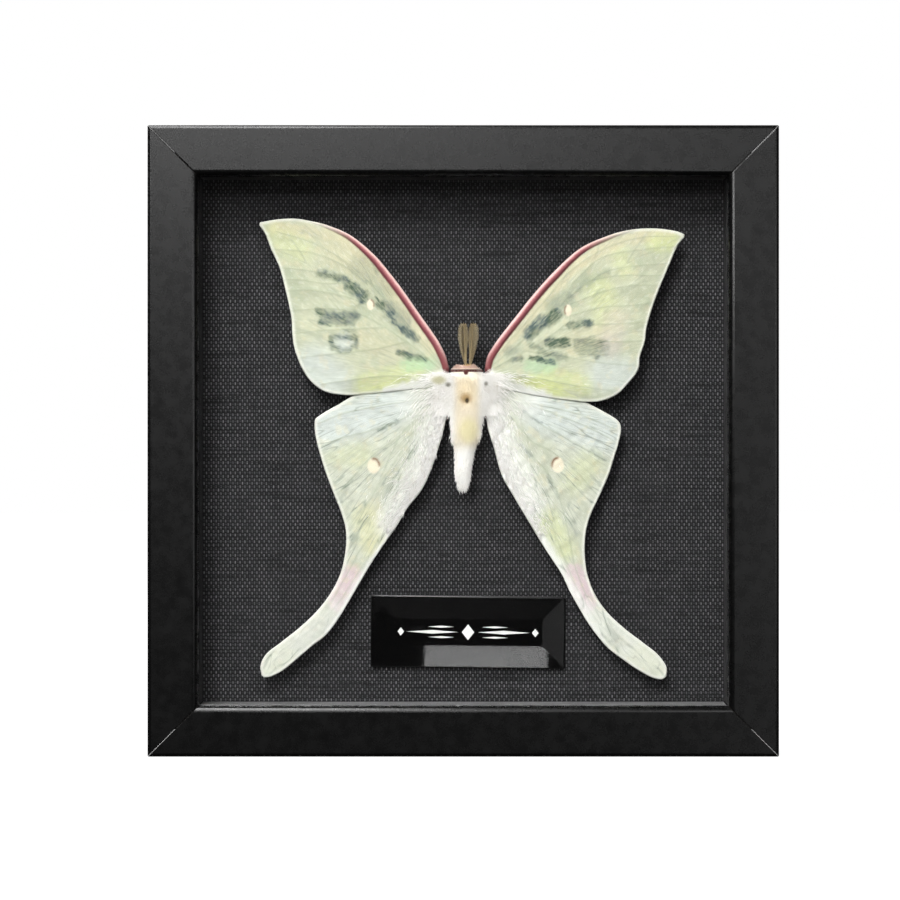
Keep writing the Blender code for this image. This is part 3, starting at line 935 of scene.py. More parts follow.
def smooth_path(points: Path, steps: int = 12) -> np.ndarray:
    """Smooth curve through the points.

    Args:
        points: The points that it passes through.
        steps: Steps between one point and the next.

    Returns:
        Points along the curve.
    """
    knots = np.array(points, dtype=float)
    padded = np.vstack((2 * knots[0] - knots[1], knots, 2 * knots[-1] - knots[-2]))
    fine = []
    for index in range(len(knots) - 1):
        before, start, end, after = padded[index:index + 4]
        for t in np.linspace(0, 1, steps, endpoint=False):
            bend = (2 * before - 5 * start + 4 * end - after) * t * t
            twist = (3 * start - before - 3 * end + after) * t ** 3
            fine.append(0.5 * (2 * start + (end - before) * t + bend + twist))
    fine.append(knots[-1])
    return np.array(fine)


def respaced(path: np.ndarray, spacing: float) -> np.ndarray:
    """Points at even spacing along a path.

    Args:
        path: The path's points.
        spacing: Distance from one to the next.

    Returns:
        The new points.
    """
    lengths = np.concatenate(([0.0], np.cumsum(np.linalg.norm(np.diff(path, axis=0), axis=1))))
    stations = np.linspace(0, lengths[-1], max(2, round(lengths[-1] / spacing) + 1))
    columns = [np.interp(stations, lengths, path[:, column]) for column in range(path.shape[1])]
    return np.stack(columns, axis=1)


def nearest(points: np.ndarray, path: np.ndarray) -> tuple[np.ndarray, np.ndarray]:
    """Nearest place on a path.

    Args:
        points: Points to measure from.
        path: The path's points.

    Returns:
        The distance of each point, and how far along the path the place is, from 0 to 1.
    """
    best = np.full(len(points), np.inf)
    along = np.zeros(len(points))
    travelled = 0.0
    for start, end in zip(path, path[1:]):
        run = end - start
        length = float(np.linalg.norm(run))
        share = np.clip(((points - start) @ run) / max(length ** 2, 1e-12), 0, 1)
        gap = np.linalg.norm(points - start - share[:, None] * run, axis=1)
        closer = gap < best
        best[closer] = gap[closer]
        along[closer] = travelled + share[closer] * length
        travelled += length
    return best, along / max(travelled, 1e-12)


def within(points: np.ndarray, outline: np.ndarray) -> np.ndarray:
    """Which points lie inside a closed outline.

    Args:
        points: The points.
        outline: The outline's points in order.

    Returns:
        True for each point inside.
    """
    inside = np.zeros(len(points), dtype=bool)
    for start, end in zip(outline, np.roll(outline, -1, axis=0)):
        crosses = (start[1] > points[:, 1]) != (end[1] > points[:, 1])
        rise = end[1] - start[1] if end[1] != start[1] else 1e-12
        reach = start[0] + (points[:, 1] - start[1]) / rise * (end[0] - start[0])
        inside ^= crosses & (points[:, 0] < reach)
    return inside


def waves(points: np.ndarray, seed: int, shortest: float, longest: float) -> np.ndarray:
    """Smooth random field.

    Args:
        points: Where it is wanted.
        seed: Seed of the random draws.
        shortest: Its shortest wavelength.
        longest: Its longest wavelength.

    Returns:
        Values between -1 and 1.
    """
    random = np.random.default_rng(seed)
    total = np.zeros(len(points))
    for _ in range(14):
        angle = random.uniform(0, math.pi)
        length = random.uniform(shortest, longest)
        along = points @ np.array((math.cos(angle), math.sin(angle)))
        total += np.sin(along * 2 * math.pi / length + random.uniform(0, 2 * math.pi))
    return np.clip(total / 5, -1, 1)


def fade(values: np.ndarray, low: float, high: float) -> np.ndarray:
    """Smooth step of an array, from 0 at low to 1 at high."""
    share = np.clip((values - low) / (high - low), 0, 1)
    return share * share * (3 - 2 * share)


@dataclass(frozen=True)
class Mark:
    """A soft stroke or, along a single point, a spot of a tint on a wing."""

    path: Path
    radius: float
    soft: float
    strength: float

    def cover(self, points: np.ndarray) -> np.ndarray:
        """How much of the tint lies on each point.

        Args:
            points: Points of the wing.

        Returns:
            The cover of each point, from 0 to 1.
        """
        ends = self.path if len(self.path) > 1 else self.path * 2
        distance, _ = nearest(points, np.array(ends, dtype=float))
        return self.strength * (1 - fade(distance, self.radius * 0.7, self.radius + self.soft * 1.25))


@dataclass(frozen=True)
class Eyespot:
    """A small oval with a crescent on its inner side."""

    centre: tuple[float, float]
    half_width: float
    half_height: float
    crescent_angle: float

    def covers(self, points: np.ndarray) -> tuple[np.ndarray, np.ndarray]:
        """Paint the spot.

        Args:
            points: Points of the wing.

        Returns:
            The cover of the disc and that of the crescent.
        """
        away = (points - np.array(self.centre)) / np.array((self.half_width, self.half_height))
        radius = np.linalg.norm(away, axis=1)
        facing = np.array((math.cos(self.crescent_angle), math.sin(self.crescent_angle)))
        toward = (away @ facing) / np.maximum(radius, 1e-6)
        disc = 1 - fade(radius, 0.85, 1.2)
        ring = np.exp(-((radius - 0.95) / 0.2) ** 2) * fade(toward, 0.3, 0.8)
        return disc, ring


@dataclass(frozen=True)
class WingPlan:
    """Edges, veins, marks and eyespot of a wing, in millimetres outwards and up from the pin.

    A mark is a path with its radius, its softness and its strength.
    """

    leading: Path
    trailing: Path
    veins: tuple[Path, ...]
    marks: dict[Tint, tuple[tuple[Path, float, float, float], ...]]
    eye: Eyespot


LEFT_FOREWING = WingPlan(
    leading=(
        (4.2, 7.6), (5.0, 10.6), (6.3, 13.4), (7.8, 15.8), (11.2, 20.6), (14.5, 25.4), (18.1, 30.2),
        (22.2, 35.0), (27.8, 39.6), (33.2, 42.0), (37.0, 43.0), (41.3, 43.7), (45.6, 43.5), (49.7, 42.8),
    ),
    trailing=(
        (4.8, 3.5), (8.8, 3.1), (16.1, 2.3), (23.3, 1.6), (28.8, 1.3), (34.4, 2.3), (38.6, 6.0),
        (41.1, 11.5), (41.9, 15.8), (42.2, 20.3), (43.7, 27.1), (45.0, 31.9), (47.1, 36.5), (48.4, 39.9),
        (49.8, 42.0),
    ),
    veins=(
        ((5.0, 7.9), (11.3, 15.1), (16.5, 20.8), (21.8, 26.6), (28.8, 33.1), (37.2, 37.9), (45.9, 40.6)),
        ((5.0, 7.1), (11.7, 14.4), (18.0, 19.6), (22.1, 24.2)),
        ((5.0, 6.4), (12.5, 12.7), (18.5, 16.8), (23.8, 20.1)),
        ((22.1, 24.2), (23.0, 22.3), (23.8, 20.1)),
        ((22.1, 24.2), (27.6, 28.3), (32.9, 30.2), (39.6, 31.4), (45.6, 31.9)),
        ((24.2, 28.3), (30.5, 32.9), (37.7, 35.5), (47.3, 36.5)),
        ((22.8, 22.5), (29.0, 24.9), (36.5, 26.4), (43.5, 26.4)),
        ((23.8, 20.1), (30.0, 21.8), (35.8, 22.0), (42.3, 21.6)),
        ((19.4, 17.5), (26.6, 17.2), (34.8, 16.8), (42.0, 16.0)),
        ((14.4, 14.1), (22.8, 12.2), (31.7, 11.2), (40.8, 10.3)),
        ((6.0, 5.2), (10.3, 5.2), (16.1, 5.9), (22.1, 5.7), (25.7, 5.2), (34.8, 4.0)),
        ((27.6, 28.3), (33.8, 28.1), (40.1, 29.0), (44.7, 29.0)),
    ),
    marks={
        Tint.SOOT: (
            (((35.3, 30.5), (29.3, 29.0), (24.0, 25.4)), 0.35, 0.9, 0.75),
            (((28.1, 27.3), (24.7, 24.7)), 0.7, 1.1, 0.75), (((25.2, 23.7),), 0.5, 0.6, 0.8),
            (((20.9, 23.2), (18.0, 21.6)), 0.6, 1.0, 0.75),
            (((21.8, 24.7), (18.0, 19.6), (15.1, 16.3), (12.0, 14.4)), 0.2, 0.4, 0.9),
            (((14.9, 17.0), (12.5, 15.1)), 0.7, 0.7, 0.85), (((18.5, 22.3), (15.1, 18.9)), 1.5, 1.5, 0.4),
            (((16.1, 11.5), (13.4, 10.5)), 0.5, 0.5, 0.95), (((13.2, 10.7), (9.8, 9.8)), 0.4, 0.6, 0.6),
            (((35.3, 21.3), (33.6, 20.1), (26.9, 20.4)), 0.6, 0.9, 0.75),
            (((34.8, 18.9), (27.6, 18.7)), 0.4, 0.7, 0.65),
            (
                ((32.6, 15.1), (26.6, 15.3), (26.6, 13.1), (29.3, 11.9), (32.2, 12.9), (32.6, 15.1)),
                0.3, 0.7, 0.6,
            ),
            (((29.3, 16.8), (26.9, 16.5)), 0.3, 0.5, 0.4), (((25.2, 32.4), (19.4, 26.1)), 1.2, 2.5, 0.32),
        ),
        Tint.ICE: (
            (((29.5, 13.9),), 1.5, 1.5, 0.7), (((36.3, 8.4), (32.9, 4.8)), 3.0, 4.0, 0.75),
        ),
        Tint.MINT: (
            (((14.1, 8.6), (9.3, 8.8)), 0.8, 1.6, 0.6),
        ),
        Tint.LIME: (
            (((24.5, 3.8), (12.5, 6.9)), 1.6, 2.0, 0.55), (((19.7, 2.1), (12.5, 2.6)), 1.2, 1.2, 0.8),
            (((46.1, 39.6), (40.1, 36.2)), 1.5, 3.0, 0.35),
        ),
        Tint.CREAM: (
            (((25.7, 14.6), (17.3, 12.2)), 1.2, 2.5, 0.4),
            (((46.1, 41.6), (30.1, 39.2), (21.0, 30.5), (8.0, 12.0)), 1.0, 1.2, 0.7),
            (((31.7, 36.2), (24.5, 31.4)), 1.5, 3.0, 0.5),
        ),
        Tint.SNOW: (
            (((5.0, 6.4), (9.6, 4.6), (14.0, 3.2), (19.0, 2.0)), 0.7, 1.2, 1.0),
        ),
    },
    eye=Eyespot((23.1, 23.0), 0.85, 1.25, math.radians(150)),
)
RIGHT_FOREWING = WingPlan(
    leading=(
        (4.3, 7.6), (4.9, 10.6), (6.5, 13.3), (8.3, 15.8), (12.1, 20.6), (15.9, 25.4), (20.2, 30.2),
        (25.2, 35.0), (28.9, 37.5), (34.0, 39.6), (37.7, 40.7), (41.9, 41.3), (46.0, 41.3), (50.2, 40.7),
        (52.3, 39.9),
    ),
    trailing=(
        (4.9, 3.1), (11.6, 2.1), (16.8, 1.1), (22.0, 0.3), (28.3, -0.3), (32.2, -0.1), (35.8, 1.3),
        (38.1, 3.4), (41.1, 7.2), (41.6, 10.5), (42.8, 14.2), (43.3, 17.9), (45.0, 23.5), (46.8, 28.2),
        (48.6, 32.4), (50.5, 36.9), (52.2, 39.2),
    ),
    veins=(
        ((5.1, 8.3), (11.8, 16.0), (18.8, 24.0), (24.3, 30.5), (32.0, 36.0), (41.6, 39.1), (50.3, 39.4)),
        ((5.1, 7.6), (12.8, 13.9), (19.5, 19.9), (23.8, 24.2)),
        ((5.1, 6.9), (12.8, 11.2), (19.5, 15.1), (24.8, 19.2)),
        ((23.8, 24.2), (24.8, 21.8), (24.8, 19.2)),
        ((23.8, 24.2), (29.6, 28.8), (34.9, 31.4), (41.6, 32.4), (48.4, 32.9)),
        ((25.3, 28.1), (32.0, 34.1), (41.6, 36.2), (49.8, 36.9)),
        ((24.6, 23.0), (32.0, 25.9), (39.2, 27.6), (45.7, 27.6)),
        ((24.8, 20.4), (32.0, 22.3), (39.2, 22.8), (44.5, 23.5)),
        ((22.4, 17.0), (29.6, 18.2), (36.8, 18.4), (43.6, 18.9)),
        ((18.8, 14.6), (27.2, 14.8), (35.6, 14.1), (42.8, 14.4)),
        ((14.0, 11.9), (22.4, 10.7), (32.0, 9.1), (40.9, 8.3)),
        ((5.6, 6.4), (15.2, 5.7), (24.8, 3.8), (34.9, 2.3)),
        ((29.6, 28.8), (36.8, 30.0), (46.9, 30.0)),
    ),
    marks={
        Tint.SOOT: (
            (((15.0, 16.0), (17.6, 18.4), (21.4, 20.6)), 1.1, 0.9, 0.85), (((21.4, 21.3),), 0.5, 0.7, 1.0),
            (((14.7, 15.8),), 0.5, 0.7, 1.0), (((20.0, 13.9), (23.6, 13.9)), 1.0, 0.6, 0.9),
            (((24.8, 18.0), (29.6, 18.7)), 0.5, 0.7, 0.8), (((27.7, 13.1), (32.0, 12.7)), 1.3, 1.5, 0.5),
            (((31.3, 10.5),), 0.4, 0.6, 0.6), (((15.4, 10.3), (20.7, 9.1)), 0.4, 0.45, 1.0),
            (((17.6, 11.7), (23.6, 10.3)), 0.3, 0.9, 0.45), (((11.3, 9.8), (13.0, 10.0)), 0.35, 0.5, 0.65),
            (((9.9, 11.7), (11.8, 11.9)), 0.6, 0.8, 0.35), (((15.2, 13.4), (17.8, 12.4)), 0.3, 0.6, 0.45),
            (((20.5, 23.0), (24.3, 24.7)), 0.8, 1.5, 0.4),
            (((25.5, 26.4), (29.6, 28.8), (33.9, 30.9)), 0.3, 0.9, 0.3),
        ),
        Tint.MINT: (
            (((15.2, 8.3), (20.0, 8.3)), 0.7, 1.6, 0.5),
        ),
        Tint.LIME: (
            (((16.4, 4.3), (21.4, 3.1)), 1.2, 1.6, 0.9), (((20.0, 5.5), (28.4, 4.0)), 1.6, 1.6, 0.55),
            (((32.0, 26.6), (34.4, 19.4)), 1.5, 3.0, 0.45), (((45.2, 37.9), (49.3, 37.9)), 1.0, 2.0, 0.6),
            (((36.8, 34.8), (38.0, 31.4)), 1.0, 2.0, 0.35),
        ),
        Tint.ICE: (
            (((33.2, 6.4), (37.0, 6.0)), 2.5, 3.5, 0.75),
        ),
        Tint.CREAM: (
            (((25.4, 13.4), (32.0, 15.8)), 1.2, 2.5, 0.45),
            (((48.5, 40.2), (37.0, 38.8), (25.0, 31.5), (8.0, 12.5)), 1.0, 1.2, 0.7),
        ),
        Tint.ROSE: (
            (((34.4, 13.4), (35.6, 19.4)), 1.5, 2.5, 0.35),
        ),
        Tint.SNOW: (
            (((5.0, 6.4), (9.6, 3.8), (14.0, 2.2), (19.0, 0.9)), 0.7, 1.2, 1.0),
        ),
    },
    eye=Eyespot((24.3, 21.6), 0.85, 1.35, math.radians(170)),
)
LEFT_HINDWING = WingPlan(
    leading=(
        (4.8, 4.0), (11.3, 5.5), (16.1, 5.3), (20.6, 4.1), (26.8, 1.4), (31.0, -1.0), (35.4, -3.6),
        (36.6, -5.2), (36.1, -9.9), (34.3, -16.2), (32.2, -21.9), (30.3, -26.7), (29.1, -31.1),
        (29.1, -35.4), (30.1, -40.7), (32.2, -45.4), (35.6, -50.1), (39.9, -54.3), (44.4, -57.9),
        (48.1, -60.8), (49.6, -63.6), (49.4, -66.0),
    ),
    trailing=(
        (4.8, 0.2), (5.0, -4.2), (6.2, -9.4), (8.8, -17.3), (11.1, -21.9), (14.3, -25.9), (16.9, -30.3),
        (20.0, -34.7), (23.1, -39.4), (25.7, -43.8), (28.8, -49.1), (31.4, -53.3), (34.1, -56.6),
        (37.2, -59.0), (39.3, -60.8), (41.9, -63.1), (44.4, -65.0), (47.1, -66.4), (48.8, -66.6),
    ),
    veins=(
        ((6.4, 0.6), (11.3, 0.2), (19.7, -1.0), (29.3, -3.0), (35.8, -5.6)),
        ((6.4, 0.2), (10.0, -1.0), (16.5, -4.9), (23.3, -7.3), (30.0, -9.0), (35.1, -11.1)),
        ((6.4, -0.3), (10.3, -2.5), (17.0, -9.2), (22.1, -12.6), (27.6, -18.6), (31.4, -23.2)),
        ((6.4, -0.8), (9.3, -2.7), (14.9, -11.1), (19.7, -18.1), (23.8, -24.4), (28.1, -31.3)),
        (
            (6.2, -1.5), (8.4, -3.4), (13.2, -12.3), (17.3, -21.5), (21.3, -29.9), (25.7, -36.1),
            (29.8, -43.6), (35.8, -53.2), (44.9, -60.4),
        ),
        (
            (6.2, -2.2), (7.4, -4.9), (11.3, -13.5), (15.8, -23.9), (20.9, -33.0), (26.4, -41.9),
            (31.7, -49.6), (40.1, -57.5), (46.8, -62.8),
        ),
        ((16.5, -9.4), (18.9, -14.3), (20.9, -19.1)),
    ),
    marks={
        Tint.SOOT: (
            (((16.5, -4.9), (20.9, -7.0)), 0.1, 0.5, 0.45), (((11.7, -8.5), (14.1, -12.3)), 0.2, 0.5, 0.3),
            (((16.5, -16.7), (19.4, -22.7)), 0.3, 0.6, 0.25),
            (((27.6, -18.6), (30.5, -23.9)), 0.2, 0.5, 0.25),
        ),
        Tint.LIME: (
            (((31.7, -11.9), (25.7, -13.1)), 1.5, 3.0, 0.25),
            (((24.5, -28.7), (21.7, -34.7)), 1.5, 3.0, 0.3),
            (((43.5, -61.5), (47.3, -64.3)), 1.0, 2.5, 0.25),
        ),
        Tint.CREAM: (
            (((23.5, -27.7), (21.7, -34.7)), 1.5, 3.0, 0.5),
        ),
        Tint.ROSE: (
            (((27.8, -42.3), (30.6, -48.0)), 2.6, 0.8, 0.95),
        ),
        Tint.ICE: (
            (((33.9, -6.6), (18.1, -1.2)), 3.0, 4.0, 0.9),
        ),
        Tint.SNOW: (
            (((5.5, -2.0), (10.5, -17.0), (17.5, -30.0)), 2.2, 3.5, 0.75),
            (((20.0, -35.5), (28.0, -48.5), (33.0, -55.5)), 0.6, 1.6, 0.8),
            (((5.0, 2.0), (12.0, 0.0)), 2.5, 4.0, 0.5), (((31.0, -50.5), (47.3, -64.3)), 1.2, 2.5, 0.5),
        ),
    },
    eye=Eyespot((22.4, -15.7), 1.45, 1.8, math.radians(130)),
)
RIGHT_HINDWING = WingPlan(
    leading=(
        (4.9, 4.0), (11.6, 5.5), (18.8, 4.5), (23.6, 2.3), (28.3, -0.2), (32.7, -2.5), (36.2, -4.7),
        (37.1, -6.7), (36.6, -9.9), (35.4, -13.9), (34.0, -18.2), (31.9, -23.0), (29.9, -27.2),
        (28.7, -31.4), (28.4, -36.5), (29.0, -41.6), (30.8, -46.5), (33.9, -51.0), (38.2, -55.0),
        (42.8, -58.5), (46.0, -61.1), (48.0, -64.0), (48.0, -66.4),
    ),
    trailing=(
        (4.9, -0.3), (4.9, -5.8), (6.4, -11.0), (8.4, -17.9), (11.4, -23.3), (14.2, -28.0), (17.4, -33.4),
        (20.2, -37.8), (22.8, -41.8), (24.7, -45.8), (26.8, -49.6), (29.0, -53.3), (31.4, -56.6),
        (34.0, -59.6), (37.7, -62.4), (41.3, -64.9), (44.8, -66.7), (47.0, -67.1),
    ),
    veins=(
        ((6.1, 0.9), (10.4, -0.1), (17.6, -1.0), (27.2, -3.4), (35.9, -7.0)),
        ((6.1, 0.4), (12.8, -0.3), (24.8, -4.6), (32.0, -7.8), (36.1, -10.2)),
        ((6.1, -0.1), (9.2, -0.8), (13.5, -2.5), (18.8, -6.3), (26.0, -10.2), (33.5, -14.5)),
        ((6.1, -0.6), (9.7, -2.7), (15.2, -9.4), (20.5, -12.3), (26.0, -16.7), (31.1, -22.4)),
        (
            (6.1, -1.0), (8.5, -3.9), (12.8, -10.6), (16.4, -14.0), (20.0, -18.3), (22.4, -23.9),
            (24.3, -31.3), (26.3, -40.7), (31.1, -50.8), (41.6, -61.1),
        ),
        (
            (5.8, -1.8), (7.5, -4.9), (11.6, -13.1), (15.2, -19.5), (20.0, -28.9), (23.8, -38.8),
            (27.9, -47.9), (34.4, -56.1), (44.5, -64.3),
        ),
        ((5.8, -2.5), (9.2, -14.5), (12.8, -21.7), (17.6, -31.6)),
    ),
    marks={
        Tint.SOOT: (
            (((13.5, -2.5), (17.8, -5.4)), 0.1, 0.4, 0.45),
            (((13.0, -10.6), (15.4, -13.3)), 0.15, 0.5, 0.4),
            (((19.5, -17.9), (21.9, -23.4)), 0.15, 0.5, 0.25),
            (((29.6, -11.9), (33.5, -14.3)), 0.1, 0.4, 0.3),
        ),
        Tint.LIME: (
            (((26.0, -19.1), (29.6, -14.3)), 1.5, 3.0, 0.3),
            (((19.8, -28.7), (23.6, -35.9)), 1.2, 2.5, 0.45),
            (((41.6, -61.1), (46.4, -65.2)), 1.0, 2.5, 0.3),
        ),
        Tint.ROSE: (
            (((25.7, -41.9), (28.6, -48.4)), 2.6, 0.8, 0.95),
        ),
        Tint.ICE: (
            (((18.6, -2.8), (33.0, -7.8)), 3.0, 4.0, 0.9),
        ),
        Tint.SNOW: (
            (((5.5, -2.0), (9.5, -14.0), (14.5, -25.0)), 2.2, 3.5, 0.75),
            (((17.5, -33.0), (26.0, -47.0), (32.0, -57.0)), 0.6, 1.6, 0.8),
            (((5.0, 2.0), (14.0, 0.5)), 2.5, 4.0, 0.5), (((29.0, -50.5), (46.4, -65.2)), 1.2, 2.5, 0.5),
        ),
    },
    eye=Eyespot((21.9, -15.5), 1.45, 1.8, math.radians(140)),
)
WING_PLANS = {
    Side.LEFT: (LEFT_FOREWING, LEFT_HINDWING),
    Side.RIGHT: (RIGHT_FOREWING, RIGHT_HINDWING),
}


@dataclass
class Wing:
    """One wing: a thin membrane with raised veins and, on a forewing, a rounded rim."""

    name: str
    side: Side
    plan: WingPlan
    finish: WingScales
    pin: tuple[float, float]
    depth: float
    camber: float
    seed: int
    rim_radius: float = 0.0
    sag: float = 0.0
    behind: np.ndarray | None = None
    grid: float = 0.27
    membrane_half: float = 0.09
    vein_radius: float = 0.16
    vein_height: float = 0.07
    swell_radius: float = 1.3
    swell_height: float = 0.09
    ripple: float = 0.10
    rim_shares: Path = (
        (0.0, 0.80), (0.06, 0.98), (0.45, 1.0), (0.58, 0.80), (0.68, 0.60), (0.78, 0.35), (0.86, 0.0),
    )
    rim_height: float = 0.75
    rim_lines: tuple[float, ...] = (0.14, 0.45, 0.8, 1.2, 1.55, 1.86, 2.06)
    camber_reach: float = 4.0
    sag_reach: float = 3.0
    sag_end: tuple[float, float] = (24.0, 34.0)
    tip_droop: float = 0.5
    droop_span: float = 50.0
    drift: float = 0.3

    @property
    def rimmed(self) -> bool:
        """Whether the leading edge is thicker than the membrane."""
        return self.rim_radius > self.membrane_half

    def edges(self) -> tuple[np.ndarray, np.ndarray]:
        """Leading and trailing edge as fine paths from root to tip."""
        return smooth_path(self.plan.leading), smooth_path(self.plan.trailing)

    def outline(self) -> np.ndarray:
        """Closed outline, up the leading edge and back down the trailing edge.

        Returns:
            Its points in order.
        """
        leading, trailing = self.edges()
        closed = np.vstack((leading, trailing[::-1], leading[:1]))
        return respaced(closed, self.grid * 0.9)[:-1]

    def edge_distance(self, points: np.ndarray) -> np.ndarray:
        """Distance of each point to the outline."""
        outline = self.outline()
        return nearest(points, np.vstack((outline, outline[:1])))[0]

    def bead(self, along: np.ndarray) -> np.ndarray:
        """Radius of the rim at a place along the leading edge."""
        share = np.interp(along, *zip(*self.rim_shares))
        return np.maximum(self.membrane_half, self.rim_radius * share)

    def middle(self, points: np.ndarray, edge: np.ndarray) -> np.ndarray:
        """Height of the cambered membrane at points whose distance to the outline is given."""
        droop = self.tip_droop * (points[:, 0] / self.droop_span) ** 2
        return self.camber * (1 - np.exp(-edge / self.camber_reach)) - droop

    def net(self) -> tuple[np.ndarray, list, set[int]]:
        """Fill the outline with small triangles.

        Returns:
            The points, the triangles and the numbers of the points on the outline.
        """
        leading, _ = self.edges()
        outline = self.outline()
        low, high = outline.min(axis=0), outline.max(axis=0)
        rows = np.arange(low[1], high[1], self.grid * math.sqrt(0.75))
        columns = np.arange(low[0], high[0], self.grid)
        fill = np.array([(x + (row % 2) * self.grid / 2, y) for row, y in enumerate(rows) for x in columns])
        fill = fill[within(fill, outline)]
        keep = self.edge_distance(fill) > self.grid * 0.45
        lead, along = nearest(fill, leading)
        radius = self.bead(along)
        keep &= (lead > 2.15 * radius) | (radius < 2 * self.membrane_half)
        parts = [outline, fill[keep]]
        if self.rimmed:
            parts.append(self.rim_points(leading, outline))
        coordinates = [Vector(point) for point in np.vstack(parts).tolist()]
        border = list(range(len(outline)))
        result = geometry.delaunay_2d_cdt(coordinates, [], [border], 1, 1e-7)
        points = np.array([tuple(point) for point in result[0]])
        return points, result[2], self.border_points(result[2])

    def rim_points(self, leading: np.ndarray, outline: np.ndarray) -> np.ndarray:
        """Rows of points that follow the leading edge over the rim.

        Args:
            leading: The leading edge.
            outline: The wing's outline.

        Returns:
            The points inside the outline.
        """
        spine = respaced(leading, self.grid)[1:-1]
        tangent = unit(np.gradient(spine, axis=0))
        inward = np.stack((tangent[:, 1], -tangent[:, 0]), axis=1)
        radius = self.bead(np.linspace(0, 1, len(spine)))
        thick = radius >= 2 * self.membrane_half
        points = np.vstack([(spine + inward * (radius * share)[:, None])[thick] for share in self.rim_lines])
        return points[within(points, outline) & (self.edge_distance(points) > 0.05)]

    @staticmethod
    def border_points(faces: Iterable[Sequence[int]]) -> set[int]:
        """Numbers of the points on edges that only one triangle has.

        Args:
            faces: The triangles.

        Returns:
            The points' numbers.
        """
        seen: dict[tuple[int, int], int] = {}
        for face in faces:
            for first, second in zip(face, [*face[1:], face[0]]):
                key = (min(first, second), max(first, second))
                seen[key] = seen.get(key, 0) + 1
        return {index for key, count in seen.items() if count == 1 for index in key}

    def shape(self) -> Shape:
        """Raise the net into a closed wing and paint it.

        Returns:
            The wing's shape, with its marks as point values.
        """
        points, faces, border = self.net()
        leading, trailing = self.edges()
        edge = self.edge_distance(points)
        lead, along = nearest(points, leading)
        trail, _ = nearest(points, trailing)
        vein = np.full(len(points), np.inf)
        for path in self.plan.veins:
            distance, share = nearest(points, smooth_path(path, 6))
            vein = np.minimum(vein, distance + share * 0.05)
        radius = self.bead(along)
        bead = np.sqrt(np.maximum(0.0, radius ** 2 - (lead - radius) ** 2)) * (lead < 2 * radius)
        bead = self.rim_height * bead
        thin = self.membrane_half * fade(edge, -0.02, 0.2)
        ripple = self.ripple * waves(points, self.seed, 2.0, 8.0)
        ripple = ripple + self.swell_height * np.exp(-(vein / self.swell_radius) ** 2)
        middle = self.middle(points, edge) + ripple * fade(edge, 0.0, 2.0)
        sag = self.sag * np.exp(-trail / self.sag_reach)
        middle = middle - sag * (1 - fade(points[:, 0], *self.sag_end))
        ridge = self.vein_height * np.exp(-(vein / self.vein_radius) ** 2)
        front = middle + np.maximum(thin + ridge * fade(edge, 0.0, 0.8), bead)
        back = middle - np.maximum(thin, bead)
        flat = np.array(sorted(border))
        front[flat] = middle[flat]
        count = len(points)
        across = self.pin[0] + self.side.value * points[:, 0] * MM
        upward = self.pin[1] + points[:, 1] * MM
        inner = np.array([index for index in range(count) if index not in border])
        back_number = np.arange(count)
        back_number[inner] = count + np.arange(len(inner))
        front_points, back_points = (
            np.stack((across, self.depth - height * MM, upward), axis=1) for height in (front, back)
        )
        forward = [tuple(face) for face in faces]
        if self.side is Side.LEFT:
            forward = [face[::-1] for face in forward]
        rear = [tuple(int(back_number[index]) for index in face[::-1]) for face in forward]
        order = np.concatenate((np.arange(count), inner))
        layers = self.paint(points, edge, trail, vein)
        layers |= self.rim_layers(lead, along, radius)
        layers = {name: values[order] for name, values in layers.items()}
        return Shape(np.vstack((front_points, back_points[inner])), forward + rear, layers)

    def paint(
        self, points: np.ndarray, edge: np.ndarray, trail: np.ndarray, vein: np.ndarray
    ) -> dict[str, np.ndarray]:
        """Values for the finish on each point.

        Args:
            points: The points.
            edge: Distance to the outline.
            trail: Distance to the trailing edge.
            vein: Distance to the nearest vein.

        Returns:
            The values by name.
        """
        layers = {tint.value: np.zeros(len(points)) for tint in Tint}
        shift = [waves(points, self.seed + 40 + axis, 0.9, 3.5) for axis in (0, 1)]
        drifted = points + self.drift * np.stack(shift, axis=1)
        for tint, rows in self.plan.marks.items():
            cover = layers[tint.value]
            for row in rows:
                np.maximum(cover, Mark(*row).cover(drifted), out=cover)
        # Where the wing lies over another wing, it is marked for the painted light that comes back through
        # it.
        layers["overlap"] = np.zeros(len(points))
        if self.behind is not None:
            layers["overlap"] = within(points, self.behind) * fade(trail, 0.0, 0.5)
        layers["eye_disc"], layers["eye_crescent"] = self.plan.eye.covers(points)
        away = points - np.array((4.5, 4.5 if self.rimmed else 1.5))
        layers["fan"] = np.arctan2(away[:, 1], away[:, 0])
        layers["reach"] = np.linalg.norm(away, axis=1)
        layers["vein"] = 1 - fade(vein, 0.05, 0.32)
        layers["margin"] = 0.8 * (1 - fade(edge, 0.3, 1.0))
        return layers

    def rim_layers(self, lead: np.ndarray, along: np.ndarray, radius: np.ndarray) -> dict[str, np.ndarray]:
        """Values for the rim on each point.

        Args:
            lead: Distance to the leading edge.
            along: Place along the leading edge.
            radius: Radius of the rim.

        Returns:
            The rim's cover, and the place across it from 0 to 1.
        """
        rim = np.zeros(len(lead))
        if self.rimmed:
            rim = (1 - fade(lead - 2 * radius, -0.05, 0.25)) * (1 - fade(along, 0.58, 0.84))
        return {"rim": rim, "rim_side": np.clip(lead / (2 * radius), 0, 1)}

    def build(self) -> bpy.types.Object:
        """Add the wing in place of its solid.

        Returns:
            The wing.
        """
        mesh = self.shape().mesh(self.name + "_skin")
        material = self.finish.material(self.name + "_scales")
        return add_piece(self.name + "_skin", mesh, material, [self.name])


